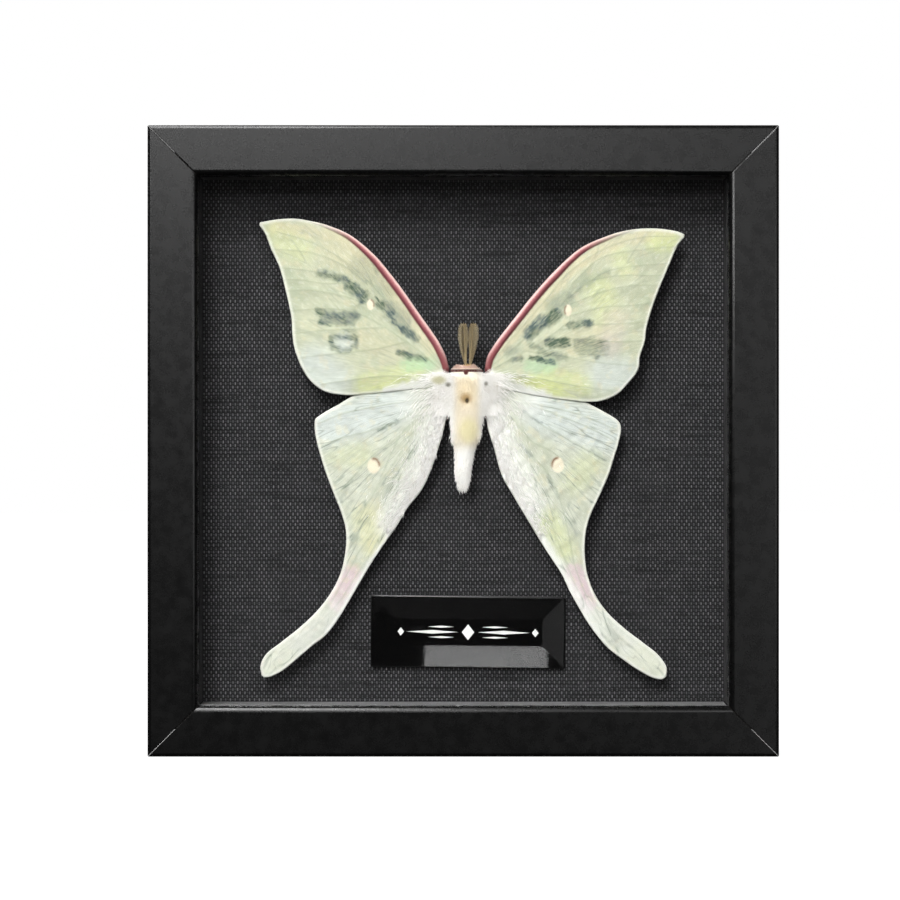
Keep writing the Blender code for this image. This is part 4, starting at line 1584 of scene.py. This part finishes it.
@dataclass
class Specimen:
    """The spread moth: four wings, furred body, feelers, legs and pin."""

    pin_x: float = 0.85 * MM
    pin_z: float = 84.7 * MM
    body_y: float = -3.0 * MM
    forewing_y: float = -4.0 * MM
    hindwing_y: float = -2.75 * MM
    antenna_y: float = -4.2 * MM
    leg_y: float = 1.35 * MM
    fore_scales: WingScales = WingScales(ink("c4c8ac"), ink("aeb59b"), 0.32)
    hind_scales: WingScales = WingScales(ink("cacebd"), ink("b8bda8"), 0.75)
    fore_camber: float = 0.35
    hind_camber: float = 0.15
    fore_rim: float = 0.88
    fore_sag: float = 0.93
    fore_seed: int = 11
    hind_seed: int = 13
    body_rings: tuple[tuple[float, float, float, float], ...] = (
        (8.8, -0.30, 1.00, 1.00), (8.4, -0.30, 2.20, 2.00), (7.8, -0.25, 3.00, 2.70),
        (7.0, -0.05, 4.15, 3.50), (5.5, 0.05, 4.33, 3.80), (2.5, 0.05, 4.35, 3.90),
        (-1.0, 0.05, 4.33, 3.90), (-4.0, -0.05, 4.20, 3.80), (-6.8, -0.20, 3.85, 3.60),
        (-9.0, -0.45, 3.40, 3.30), (-10.8, -0.50, 2.80, 2.80), (-13.0, -0.65, 2.40, 2.40),
        (-16.5, -0.95, 2.15, 2.10), (-19.0, -0.95, 1.65, 1.60), (-21.0, -0.95, 0.90, 0.90),
        (-21.7, -0.95, 0.35, 0.35),
    )
    skin_share: float = 0.86
    pit_radius: float = 0.4
    pit_depth: float = 1.2
    body_hairs: int = 13500
    body_seed: int = 21
    shoulder_hairs: int = 3000
    shoulder_seed: int = 22
    wing_hairs: int = 5200
    wing_seed: int = 31
    hairy_share: float = 0.42
    fur_crease: float = 75.0
    left_antenna: Path = ((-0.25, 8.4), (-0.75, 18.7))
    right_antenna: Path = ((0.75, 8.4), (1.55, 18.7))
    antenna_browns: tuple[Colour, Colour] = (ink("92805c"), ink("cfc2a0"))
    antenna_half: float = 1.9
    barb_reach: tuple[tuple[float, float, float], ...] = (
        (0.0, 0.25, 0.20), (0.3, 1.20, 0.35), (0.6, 1.65, 0.85), (0.85, 1.40, 0.90), (1.0, 0.60, 0.50),
    )
    barbs: int = 62
    leg_routes: dict[str, Path] = field(default_factory=lambda: {
        "fore": ((1.0, 2.6), (3.1, 4.3), (1.9, 7.4)),
        "mid": ((1.3, 0.6), (4.2, 0.1), (4.7, -4.6)),
        "hind": ((1.0, -1.6), (3.0, -3.0), (1.7, -8.0)),
    })
    leg_browns: tuple[Colour, Colour] = (ink("4a2a22"), ink("8a5a48"))
    leg_half: float = 6.0
    leg_radius: float = 0.3
    leg_hairs: int = 260
    leg_seed: int = 51
    pin_steel: Streaked = Streaked(ink("8d8d90"), ink("5c5c60"), 0.3, (1.0, 0.2, 1.0), 3.0, metallic=1.0)

    def wings(self) -> list[Wing]:
        """The forewings, then the hindwings that they lie over.

        Returns:
            The four wings.
        """
        pin = (self.pin_x, self.pin_z)
        upper, lower = [], []
        for number, side in enumerate(Side):
            word = side.name.lower()
            fore_plan, hind_plan = WING_PLANS[side]
            lower.append(Wing(
                "hindwing_" + word, side, hind_plan, self.hind_scales, pin, self.hindwing_y,
                self.hind_camber, self.hind_seed + number,
            ))
            upper.append(Wing(
                "forewing_" + word, side, fore_plan, self.fore_scales, pin, self.forewing_y,
                self.fore_camber, self.fore_seed + number, self.fore_rim, self.fore_sag, lower[-1].outline(),
            ))
        return upper + lower

    def body_profile(self, up: np.ndarray) -> tuple[np.ndarray, np.ndarray, np.ndarray]:
        """Sideways offset, half width and half depth of the body at a height.

        Args:
            up: Heights above the pin, in millimetres.

        Returns:
            The three measures at each height.
        """
        rings = np.array(self.body_rings)[::-1]
        fine = respaced(smooth_path(tuple(map(tuple, rings)), 8), 0.2)
        return tuple(np.interp(up, fine[:, 0], fine[:, column]) for column in (1, 2, 3))

    def body_shape(self) -> Shape:
        """Skin of the body under its hair, with a pit around the pin.

        Returns:
            The closed skin.
        """
        runs = ((-21.7, -19.0, 12), (-18.8, 8.0, 90), (8.1, 8.5, 4))
        up = np.concatenate([np.linspace(*run) for run in runs])
        offset, wide, deep = self.body_profile(up)
        angles = np.linspace(0, 2 * math.pi, 72, endpoint=False)
        x = offset[:, None] + self.skin_share * wide[:, None] * np.cos(angles)
        y = self.skin_share * deep[:, None] * np.sin(angles)
        z = np.repeat(up[:, None], len(angles), axis=1)
        distance = np.hypot(x, z)
        pit = np.exp(-(distance / self.pit_radius) ** 2) * (y < 0) * self.pit_depth
        rings = np.stack((x, y + pit, z), axis=2) * MM
        rings += np.array((self.pin_x, self.body_y, self.pin_z))
        return loft(rings)

    def body_hair(self) -> Shape:
        """Hair of the head, thorax and abdomen.

        Returns:
            The hairs.
        """
        random = np.random.default_rng(self.body_seed)
        count = self.body_hairs
        up = random.uniform(-21.4, 8.4, count)
        offset, wide, deep = self.body_profile(up)
        angle = random.uniform(0, 2 * math.pi, count)
        keep = (wide > random.uniform(0, 4.4, count)) | (up > 7.0)
        across = offset + self.skin_share * wide * np.cos(angle)
        inward = self.skin_share * deep * np.sin(angle)
        keep &= (np.hypot(across, up) > 0.75) | (inward > 0)
        up, across, inward, angle = (values[keep] for values in (up, across, inward, angle))
        count = len(up)
        normal = np.stack((np.cos(angle), np.sin(angle), np.zeros(count)), axis=1)
        rise = np.where(up > 6.2, 0.9, -1.0)
        spread = np.clip(across / 4.3, -1, 1)
        spread = spread * np.interp(up, (-3.0, 0.0, 7.0, 8.0), (-0.10, 0.45, 0.45, 0.15))
        flow = np.stack((spread, np.zeros(count), rise), axis=1)
        lift = np.interp(up, (-3.0, 1.0), (0.14, 0.42))[:, None]
        heads = flow + normal * lift + random.normal(0, 0.16, (count, 3))
        length = np.where(up < -9, random.uniform(0.7, 1.5, count), random.uniform(1.2, 2.4, count))
        length = np.where(up > 6.2, random.uniform(0.3, 0.7, count), length) * MM
        roots = np.stack((across, inward, up), axis=1) * MM
        roots += np.array((self.pin_x, self.body_y, self.pin_z)) - normal * 0.05 * MM
        widths = random.uniform(0.10, 0.17, count) * MM
        return spikes(roots, unit(heads) * length[:, None], normal * length[:, None] * 0.10, widths)

    def wing_hair(self, wing: Wing, seed: int) -> Shape:
        """Long hair along a hindwing's inner margin.

        Args:
            wing: The wing that it grows on.
            seed: Seed of the random draws.

        Returns:
            The hairs.
        """
        random = np.random.default_rng(seed)
        count = self.wing_hairs
        trailing = respaced(smooth_path(wing.plan.trailing), 0.3)
        place = random.uniform(0, self.hairy_share, count)
        spot = place * (len(trailing) - 1)
        base, run = (
            np.stack([np.interp(spot, range(len(trailing)), values[:, column]) for column in (0, 1)], axis=1)
            for values in (trailing, np.gradient(trailing, axis=0))
        )
        run = unit(run)
        outward = np.stack((-run[:, 1], run[:, 0]), axis=1)
        depth = 0.35 + random.exponential(1.6, count)
        points = base + outward * depth[:, None]
        keep = within(points, wing.outline())
        keep &= random.uniform(0, 1, count) > place / self.hairy_share - 0.25
        points, run, outward = points[keep], run[keep], outward[keep]
        count = len(points)
        middle = wing.middle(points, wing.edge_distance(points))
        tuft = random.normal(0.12, 0.24, 200)[(np.linalg.norm(points, axis=1) / 0.7).astype(int) % 200]
        lean = (tuft + random.normal(0.0, 0.12, count))[:, None]
        flat = run + outward * lean
        length = random.uniform(1.0, 2.4, count) * MM
        lift = random.uniform(-0.16, -0.02, count)
        heads = unit(np.stack((wing.side.value * flat[:, 0], lift, flat[:, 1]), axis=1)) * length[:, None]
        roots = np.stack((
            self.pin_x + wing.side.value * points[:, 0] * MM,
            wing.depth - (middle + wing.membrane_half) * MM,
            self.pin_z + points[:, 1] * MM,
        ), axis=1)
        bends = np.outer(length, (0.0, -0.06, 0.0))
        return spikes(roots, heads, bends, random.uniform(0.07, 0.12, count) * MM)

    def shoulder_hair(self) -> Shape:
        """Long white hair from the thorax over the roots of the wings.

        Returns:
            The hairs.
        """
        random = np.random.default_rng(self.shoulder_seed)
        count = self.shoulder_hairs
        side = random.choice((-1.0, 1.0), count)
        up = 6.4 - 9.6 * random.power(0.8, count)[::-1]
        away = random.uniform(2.9, 4.6, count) + random.exponential(1.9, count)
        above = np.interp(up, (0.5, 4.0), (-0.5, -1.8))
        roots = np.stack((side * away, above - np.clip(4.8 - away, 0, 2) * 0.7, up), axis=1)
        fall = (up - 6.6) / 6.0 + random.normal(0, 0.22, count)
        heads = np.stack((side, random.uniform(-0.10, 0.10, count), fall), axis=1)
        length = random.uniform(1.2, 3.8, count) * np.interp(up, (-3.0, 1.0), (0.6, 1.0))
        bends = np.outer(length, (0.0, -0.05, 0.0))
        roots = roots * MM + np.array((self.pin_x, self.body_y, self.pin_z))
        widths = random.uniform(0.08, 0.13, count) * MM
        return spikes(roots, unit(heads) * length[:, None] * MM, bends * MM, widths)

    def antenna_shape(self, shaft: Path, side: Side) -> Shape:
        """Feathered feeler: a tapering shaft with close barbs and short side hairs.

        Args:
            shaft: Foot and tip of the shaft.
            side: Which feeler it is.

        Returns:
            The feeler.
        """
        foot, tip = np.array(shaft[0]), np.array(shaft[1])
        t = np.linspace(0, 1, 40)
        line = foot + (tip - foot) * t[:, None]
        path = np.stack((line[:, 0], np.full(40, 0.0), line[:, 1]), axis=1) * MM
        stem = tube(path, np.linspace(0.17, 0.06, 40) * MM, 8)
        stops, outer, inner = zip(*self.barb_reach)
        step = (np.arange(self.barbs) + 0.5) / self.barbs
        parts = [stem]
        for direction, widths in ((side.value, outer), (-side.value, inner)):
            reach = np.interp(step, stops, widths)
            start = foot + (tip - foot) * (step * 0.96)[:, None]
            roots = np.stack((start[:, 0], np.zeros(self.barbs), start[:, 1]), axis=1) * MM
            heads = np.outer(reach, (direction, -0.12, 0.55)) * MM
            bends = np.outer(reach, (direction * 0.04, 0.0, -0.10)) * MM
            parts.append(spikes(roots, heads, bends, np.full(self.barbs, 0.13) * MM))
            for share in np.linspace(0.12, 0.92, 9):
                for tilt in (0.16, -0.10):
                    across = roots + heads * share + bends * (1 - abs(share - 0.55))
                    hair = np.outer(np.ones(self.barbs), (direction * 0.10, tilt * 0.4, tilt + 0.04)) * MM
                    parts.append(spikes(across, hair, hair * 0.0, np.full(self.barbs, 0.05) * MM))
        shape = Shape.joined(parts)
        shape.points += np.array((self.pin_x, self.antenna_y, self.pin_z))
        return shape

    def leg_shape(self, route: Path, side: Side, seed: int) -> Shape:
        """Folded leg: thigh, shin and foot with joints, and short hair.

        Args:
            route: Hip, knee and foot, outwards and upwards.
            side: Which side it is on.
            seed: Seed of the random draws.

        Returns:
            The leg.
        """
        random = np.random.default_rng(seed)
        hip, knee, foot = (np.array(point) for point in route)
        bend = [knee + (end - knee) * 0.12 for end in (hip, foot)]
        line = respaced(smooth_path((hip, *bend, foot), 10), 0.12)
        share = np.linspace(0, 1, len(line))
        turn = np.linalg.norm(knee - hip) / (np.linalg.norm(knee - hip) + np.linalg.norm(foot - knee))
        radius = np.interp(share, (0, turn * 0.5, turn, 0.75, 1), (0.8, 1.0, 0.7, 0.75, 0.35))
        radius = self.leg_radius * radius
        joints = np.exp(-((share - turn) / 0.03) ** 2) * 0.05
        knots = 0.04 * np.maximum(0, np.cos(share * 2 * math.pi * 12)) * (share > 0.72)
        path = np.stack((side.value * line[:, 0], np.zeros(len(line)), line[:, 1]), axis=1) * MM
        path += np.array((self.pin_x, self.leg_y, self.pin_z))
        limb = tube(path, (radius + joints + knots) * MM, 12)
        count = self.leg_hairs
        spot = random.integers(0, len(path) - 1, count)
        angle = random.uniform(0, 2 * math.pi, count)
        normal = np.stack((np.cos(angle), np.sin(angle) * 0.5, np.sin(angle) * 0.2), axis=1)
        heads = (normal * 0.16 + np.array((0.0, 0.0, -0.25))) * MM
        roots = path[spot] + normal * (radius[spot] * 0.6 * MM)[:, None]
        return Shape.joined([limb, spikes(roots, heads, heads * 0.0, np.full(count, 0.05 * MM))])

    def build(self, nodes: Nodes) -> None:
        """Add every piece of the moth and report it.

        Args:
            nodes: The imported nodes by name.
        """
        wings = {wing.name: wing for wing in self.wings()}
        for wing in wings.values():
            piece = wing.build()
            LOG.info("%s: %d faces", piece.name, len(piece.data.polygons))
        fur = MothFur(self.pin_x, self.pin_z)
        hair = Shape.joined([self.body_shape(), self.body_hair(), self.shoulder_hair()])
        mesh = hair.mesh("body_fur", self.fur_crease)
        add_piece("body_fur", mesh, fur.material("body_hair"), ["body"])
        LOG.info("body_fur: %d faces", len(hair.faces))
        for number, side in enumerate(Side):
            wing = wings["hindwing_" + side.name.lower()]
            name = wing.name + "_hair"
            tuft = self.wing_hair(wing, self.wing_seed + number)
            add_piece(name, tuft.mesh(name), fur.material(name))
            LOG.info("%s: %d faces", name, len(tuft.faces))
        for side, shaft in zip(Side, (self.left_antenna, self.right_antenna)):
            name = "antenna_" + side.name.lower()
            centre = self.pin_x / MM + (shaft[0][0] + shaft[1][0]) / 2
            horn = HornyBrown(*self.antenna_browns, centre, self.antenna_half)
            shape = self.antenna_shape(shaft, side)
            brown = horn.material(name + "_horn")
            add_piece(name + "_vane", shape.mesh(name), brown, [name])
            LOG.info("%s: %d faces", name, len(shape.faces))
        for number, side in enumerate(Side):
            for order, (pair, route) in enumerate(self.leg_routes.items()):
                name = f"leg_{pair}_{side.name.lower()}"
                horn = HornyBrown(*self.leg_browns, 0.0, self.leg_half)
                shape = self.leg_shape(route, side, self.leg_seed + 10 * number + order)
                brown = horn.material(name + "_horn")
                add_piece(name + "_limb", shape.mesh(name), brown, [name])
        LOG.info("legs: 6")
        dress(nodes["pin"], self.pin_steel.material("pin_wire"))


@dataclass
class BoxFrame:
    """Four mitred rails, the glass behind their lip and the liner behind the glass."""

    side: float = 150.0 * MM
    depth: float = 30.0 * MM
    face: float = 12.0 * MM
    wall: float = 6.0 * MM
    lip: float = 3.0 * MM
    lip_rounding: float = 1.15 * MM
    outer_rounding: float = 0.9 * MM
    margin: float = 0.1 * MM
    mitre_gap: float = 0.03 * MM
    arris: float = 0.18 * MM
    broad: float = 100.0 * MM * MM
    paint: SatinPaint = SatinPaint()
    glass: ClearGlass = ClearGlass()
    liner: Streaked = Streaked(ink("0a0a0a"), ink("040404"), 0.85, (0.2, 1.0, 0.2), 2.0)
    # The bottom liner strip is a lighter grey copy of the liner: painted light, standing for the light from
    # above on the upward-facing bottom wall.
    painted_light_liner: Streaked = Streaked(ink("747474"), ink("585858"), 0.45, (0.2, 1.0, 0.2), 2.0)

    def section(self) -> list[tuple[float, float]]:
        """Section of a rail, as inwards from the outer side and Y.

        Returns:
            The section's corners in order.
        """
        front, back = -self.depth / 2, self.depth / 2
        inner = self.face - self.lip_rounding
        outer_arc, inner_arc = (
            [
                (middle + radius * math.cos(angle), front + radius * (1 - math.sin(angle)))
                for angle in np.radians(np.linspace(start, start - 90, steps + 1))
            ]
            for middle, radius, start, steps in (
                (self.outer_rounding, self.outer_rounding, 180, 6), (inner, self.lip_rounding, 90, 12),
            )
        )
        flat = [(self.outer_rounding + self.margin, front), (inner - self.margin, front)]
        lip = [(self.face, front + self.lip), (self.wall, front + self.lip)]
        return [(0.0, back), *outer_arc, *flat, *inner_arc, *lip, (self.wall, back)]

    def rail(self, place: RailPlace) -> bpy.types.Mesh:
        """Run the section between two mitres and turn it in place.

        Args:
            place: Which rail it is.

        Returns:
            The rail's mesh.
        """
        half = self.side / 2 - self.mitre_gap
        rings = [[(end * (half - inward), y, inward) for inward, y in self.section()] for end in (-1, 1)]
        mesh = turn_out(loft(np.array(rings)).mesh("rail"))
        shape = bmesh.new()
        shape.from_mesh(mesh)
        bpy.data.meshes.remove(mesh)
        centre = Matrix.Translation((0, 0, self.side / 2))
        turn = centre @ Matrix.Rotation(-place.value * math.pi / 2, 4, "Y") @ centre.inverted()
        return rounded(shape, "rail_" + place.name.lower(), (self.arris, 3), turn, self.broad)

    def build(self, nodes: Nodes) -> list[bpy.types.Object]:
        """Add the rails and dress the glass and liner.

        Args:
            nodes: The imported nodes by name.

        Returns:
            The rails and liner strips.
        """
        wooden = []
        for place in RailPlace:
            word = place.name.lower()
            black = self.paint.material("rail_paint_" + word)
            rail = add_piece("rail_" + word, self.rail(place), black, ["frame_rail_" + word])
            wooden += [rail, nodes["liner_strip_" + word]]
            # The bottom strip gets the lighter copy as painted light; the other three get the near-black
            # liner.
            strip = self.painted_light_liner if place is RailPlace.BOTTOM else self.liner
            dress(nodes["liner_strip_" + word], strip.material("liner_paint_" + word))
        pane = nodes["glass_pane"]
        dress(pane, self.glass.material("pane_glass"))
        pane.visible_shadow = False
        LOG.info("box frame: 4 rails, 4 liner strips, 1 pane")
        return wooden


@dataclass
class Backing:
    """Woven cloth on its board, and the panel, points and hanger behind them."""

    warp_pitch: float = 0.58 * MM
    weft_pitch: float = 0.83 * MM
    relief: float = 0.08 * MM
    crease: float = 60.0
    board: Streaked = Streaked(ink("e8e6df"), ink("d6d3c8"), 0.85, scale=0.8)
    panel: Streaked = Streaked(ink("94714d"), ink("5f452c"), 0.78, (1.0, 1.0, 0.35), 1.6, 0.8, 0.06)
    steel: Streaked = Streaked(ink("b8b8ba"), ink("88888c"), 0.34, (0.3, 1.0, 2.0), 2.5, metallic=1.0)
    brass: Streaked = Streaked(ink("cdb06c"), ink("8f7440"), 0.32, (0.3, 1.0, 2.0), 2.0, metallic=1.0)

    def cloth_shape(self) -> Shape:
        """Cloth with one point to each crossing of warp and weft.

        Returns:
            The closed sheet.
        """
        low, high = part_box("backing_cloth")
        columns = round((high.x - low.x) / self.warp_pitch)
        rows = round((high.z - low.z) / self.weft_pitch)
        x, z = np.meshgrid(np.linspace(low.x, high.x, columns + 1), np.linspace(low.z, high.z, rows + 1))
        parity = (np.round(x / self.warp_pitch) + np.round(z / self.weft_pitch)) % 2
        y = low.y + self.relief * (1.0 - parity)
        points = np.stack((x, y, z), axis=2).reshape(-1, 3)
        width, count = columns + 1, len(points)
        corner = (np.arange(rows)[:, None] * width + np.arange(columns)).ravel()
        faces = np.stack((corner, corner + 1, corner + width + 1, corner + width), axis=1).tolist()
        bottom, top = range(width), range(rows * width, count)
        left, right = range(0, count, width), range(columns, count, width)
        faces += [
            (*bottom[::-1], count, count + 1),
            (*right[::-1], count + 1, count + 2),
            (*top, count + 2, count + 3),
            (*left, count + 3, count),
            (count + 3, count + 2, count + 1, count),
        ]
        corners = ((low.x, low.z), (high.x, low.z), (high.x, high.z), (low.x, high.z))
        return Shape(np.vstack((points, [(x, high.y, z) for x, z in corners])), faces)

    def build(self, nodes: Nodes) -> None:
        """Add the cloth and dress what is behind it.

        Args:
            nodes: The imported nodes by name.
        """
        weave = WovenCloth(self.warp_pitch, self.weft_pitch).material("black_weave")
        mesh = turn_out(self.cloth_shape().mesh("backing_weave", self.crease))
        cloth = add_piece("backing_weave", mesh, weave, ["backing_cloth"])
        LOG.info("backing cloth: %d faces", len(mesh.polygons))
        dress(nodes["mounting_board"], self.board.material("foam_board"))
        dress(nodes["back_panel"], self.panel.material("pressed_board"))
        dress(nodes["hanger"], self.brass.material("hanger_metal"))
        for name, node in nodes.items():
            if name.startswith(("retaining_point", "hanger_nail")):
                dress(node, self.steel.material(name + "_metal"))
        LOG.info("board, panel, hanger, nails and points dressed")


@dataclass
class Nameplate:
    """Polished black plate with four slopes and a white printed ornament."""

    width: float = 46.8 * MM
    height: float = 17.4 * MM
    edge: float = 0.9 * MM
    slope_width: float = 5.5 * MM
    slope_rise: float = 1.25 * MM
    centre: tuple[float, float] = (1.15 * MM, 28.9 * MM)
    tilt: float = math.radians(0.7)
    back: float = 1.7 * MM
    chamfer: float = 0.3 * MM
    broad: float = 10.0 * MM * MM
    print_thickness: float = 0.05 * MM
    print_root: float = 0.2 * MM
    diamonds: tuple[tuple[float, float, float], ...] = ((0.0, 1.5, 1.9), (-16.2, 0.8, 1.0), (16.2, 0.8, 1.0))
    strokes: tuple[tuple[float, float, float, float, float], ...] = (
        (2.4, 8.6, 14.8, 0.0, 0.45), (3.4, 6.4, 9.6, 1.25, 0.25), (3.4, 6.4, 9.6, -1.25, 0.25),
    )
    white: Streaked = Streaked(ink("f2f2f0"), ink("dcdcd8"), 0.5, scale=2.0, contrast=0.3)

    def place(self) -> Matrix:
        """Where the plate's middle sits and how it is turned."""
        middle = Matrix.Translation((self.centre[0], self.back - self.edge / 2, self.centre[1]))
        return middle @ Matrix.Rotation(self.tilt, 4, "Y")

    def plate(self) -> bpy.types.Mesh:
        """Slab with its slopes and softened arrises.

        Returns:
            The plate's mesh.
        """
        shape = bmesh.new()
        bmesh.ops.create_cube(shape, size=1.0)
        bmesh.ops.scale(shape, vec=(self.width, self.edge, self.height), verts=shape.verts)
        front = min(shape.faces, key=lambda face: face.calc_center_median().y)
        bmesh.ops.inset_region(
            shape, faces=[front], thickness=self.slope_width, depth=self.slope_rise, use_even_offset=True
        )
        return rounded(shape, "nameplate_gloss", (self.chamfer, 4), self.place(), self.broad)

    def ornament(self) -> bpy.types.Mesh:
        """Diamonds joined by slim tapering strokes.

        Returns:
            The ornament's mesh.
        """
        outlines = []
        for x, wide, tall in self.diamonds:
            outlines.append([(x - wide, 0.0), (x, -tall), (x + wide, 0.0), (x, tall)])
        for sign in (-1, 1):
            for start, middle, end, height, thick in self.strokes:
                outlines.append([
                    (sign * start, height), (sign * middle, height - thick),
                    (sign * end, height), (sign * middle, height + thick),
                ])
        front = -self.edge / 2 - self.slope_rise
        levels = (front - self.print_thickness, front + self.print_root)
        rings = [[[(x * MM, y, z * MM) for x, z in line] for y in levels] for line in outlines]
        parts = [loft(np.array(pair)) for pair in rings]
        mesh = turn_out(Shape.joined(parts).mesh("nameplate_ornament", SHARP))
        mesh.transform(self.place())
        return mesh

    def build(self) -> bpy.types.Object:
        """Add the plate and its ornament.

        Returns:
            The plate.
        """
        gloss = GlossBlack(self.centre, self.height / 2, self.tilt).material("plate_gloss")
        plate = add_piece("nameplate_gloss", self.plate(), gloss, ["nameplate"])
        white = self.white.material("plate_print")
        add_piece("nameplate_ornament", self.ornament(), white)
        LOG.info("nameplate: plate and ornament")
        return plate


@dataclass(frozen=True)
class Lamp:
    """A soft panel light that faces a point."""

    name: str
    place: Place
    size: tuple[float, float]
    watts: float
    aim: Place = (0.0, 0.0, 0.075)

    def add(self, targets: Sequence[bpy.types.Object] = ()) -> None:
        """Add the light.

        Args:
            targets: The objects that it falls on, or none for all.
        """
        data = bpy.data.lights.new(self.name, "AREA")
        data.shape = "RECTANGLE"
        data.size, data.size_y = self.size
        data.energy = self.watts
        light = bpy.data.objects.new(self.name, data)
        light.location = self.place
        light.rotation_euler = (Vector(self.aim) - Vector(self.place)).to_track_quat("-Z", "Y").to_euler()
        light.visible_camera = False
        bpy.context.scene.collection.objects.link(light)
        if targets:
            only = bpy.data.collections.new(self.name + "_targets")
            for target in targets:
                only.objects.link(target)
            light.light_linking.receiver_collection = only


@dataclass
class Studio:
    """Camera, lights, white surroundings and pale floor."""

    camera_place: Place = (0.0, -0.915, 0.075)
    lens: float = 151.7
    sensor: float = 36.0
    image: float = 900.0
    shift_pixels: tuple[float, float] = (-13.25, -9.1)
    nearest_view: float = 0.01
    fill: float = 0.06
    mirrored: float = 0.02
    floor_half: float = 3.0
    floor_drop: float = 0.0002
    floor_tone: float = 0.3
    room_lamps: tuple[Lamp, ...] = (
        Lamp("main_light", (-0.22, -0.80, 0.68), (0.24, 0.24), 4.6),
        Lamp("glow_light", (-0.16, -0.90, 0.34), (0.42, 0.08), 1.5),
        Lamp("side_light", (0.45, -0.86, 0.10), (0.45, 0.50), 0.34),
        Lamp("back_light", (-0.40, 0.75, 0.50), (0.45, 0.45), 4.5),
    )
    rail_lamps: tuple[Lamp, ...] = (
        Lamp("rail_light", (-0.20, -0.26, 0.62), (0.30, 0.14), 2.6),
        Lamp("right_light", (0.32, -0.86, 0.13), (0.20, 0.42), 0.5),
        Lamp("sheen_light", (-0.06, -0.88, 0.30), (0.36, 0.08), 0.2),
    )
    slope_lamp: Lamp = Lamp(
        "plate_light", (0.0055, -0.0400, 0.001), (0.031, 0.013), 0.0062, (0.0055, -0.0399, 0.1)
    )
    edge_lamp: Lamp = Lamp("edge_light", (-0.10, -0.26, 0.62), (0.12, 0.10), 4.5, (0.0, 0.0, 0.04))

    def camera(self) -> None:
        """Set the camera straight in front of the frame."""
        data = bpy.data.cameras.new("camera")
        data.lens = self.lens
        data.sensor_width = self.sensor
        data.shift_x = self.shift_pixels[0] / self.image
        data.shift_y = self.shift_pixels[1] / self.image
        data.clip_start = self.nearest_view
        camera = bpy.data.objects.new("camera", data)
        camera.location = self.camera_place
        camera.rotation_euler = (math.radians(90), 0.0, 0.0)
        bpy.context.scene.collection.objects.link(camera)
        bpy.context.scene.camera = camera

    def trim_lights(
        self, wooden: Sequence[bpy.types.Object], plate: bpy.types.Object, pane: bpy.types.Object
    ) -> None:
        """Add the lights whose reflections show on the rails, the liner and the nameplate only.

        Args:
            wooden: The rails and liner strips.
            plate: The nameplate.
            pane: The glass, through which the plate mirrors the light under its bottom slope.
        """
        for lamp in self.rail_lamps:
            lamp.add(wooden)
        self.slope_lamp.add([plate, pane])
        self.edge_lamp.add([plate])

    def surroundings(self) -> None:
        """White to the eye, and a dim even fill for everything else."""
        world = bpy.data.worlds.new("white_room")
        bpy.context.scene.world = world
        world.use_nodes = True
        tree = world.node_tree
        background = tree.nodes["Background"]
        rays = tree.nodes.new("ShaderNodeLightPath")
        brightness = None
        for flag, seen in (("Is Glossy Ray", self.mirrored), ("Is Camera Ray", 1.0)):
            choice = tree.nodes.new("ShaderNodeMix")
            choice.inputs["A"].default_value = self.fill
            choice.inputs["B"].default_value = seen
            if brightness is not None:
                tree.links.new(brightness, choice.inputs["A"])
            tree.links.new(rays.outputs[flag], choice.inputs["Factor"])
            brightness = choice.outputs["Result"]
        tree.links.new(brightness, background.inputs["Strength"])
        background.inputs["Color"].default_value = (1.0, 1.0, 1.0, 1.0)

    def floor(self) -> None:
        """Wide pale floor under the frame, white to the camera and unseen by all other rays."""
        mesh = bpy.data.meshes.new("floor")
        half, drop = self.floor_half, -self.floor_drop
        corners = [(-half, -half, drop), (half, -half, drop), (half, half, drop), (-half, half, drop)]
        mesh.from_pydata(corners, [], [(0, 1, 2, 3)])
        white = {"Emission_Color": (1.0, 1.0, 1.0), "Emission_Strength": 1.0}
        mesh.materials.append(
            Shader("floor_white").surface(Base_Color=(self.floor_tone,) * 3, Roughness=0.9, **white)
        )
        floor = bpy.data.objects.new("floor", mesh)
        bpy.context.scene.collection.objects.link(floor)
        floor.visible_diffuse = False
        floor.visible_glossy = False
        floor.visible_transmission = False

    def build(self) -> None:
        """Set up everything around the object."""
        bpy.context.scene.view_settings.view_transform = "Standard"
        self.camera()
        for lamp in self.room_lamps:
            lamp.add()
        self.surroundings()
        self.floor()
        LOG.info("studio: camera, lights, floor")


def main() -> None:
    """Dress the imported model, piece by piece."""
    logging.basicConfig(level=logging.INFO, format="%(name)s %(message)s")
    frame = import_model()
    nodes = frame["nodes"]
    studio = Studio()
    studio.build()
    wooden = BoxFrame().build(nodes)
    Backing().build(nodes)
    studio.trim_lights(wooden, Nameplate().build(), nodes["glass_pane"])
    Specimen().build(nodes)


if __name__ == "__main__":
    main()
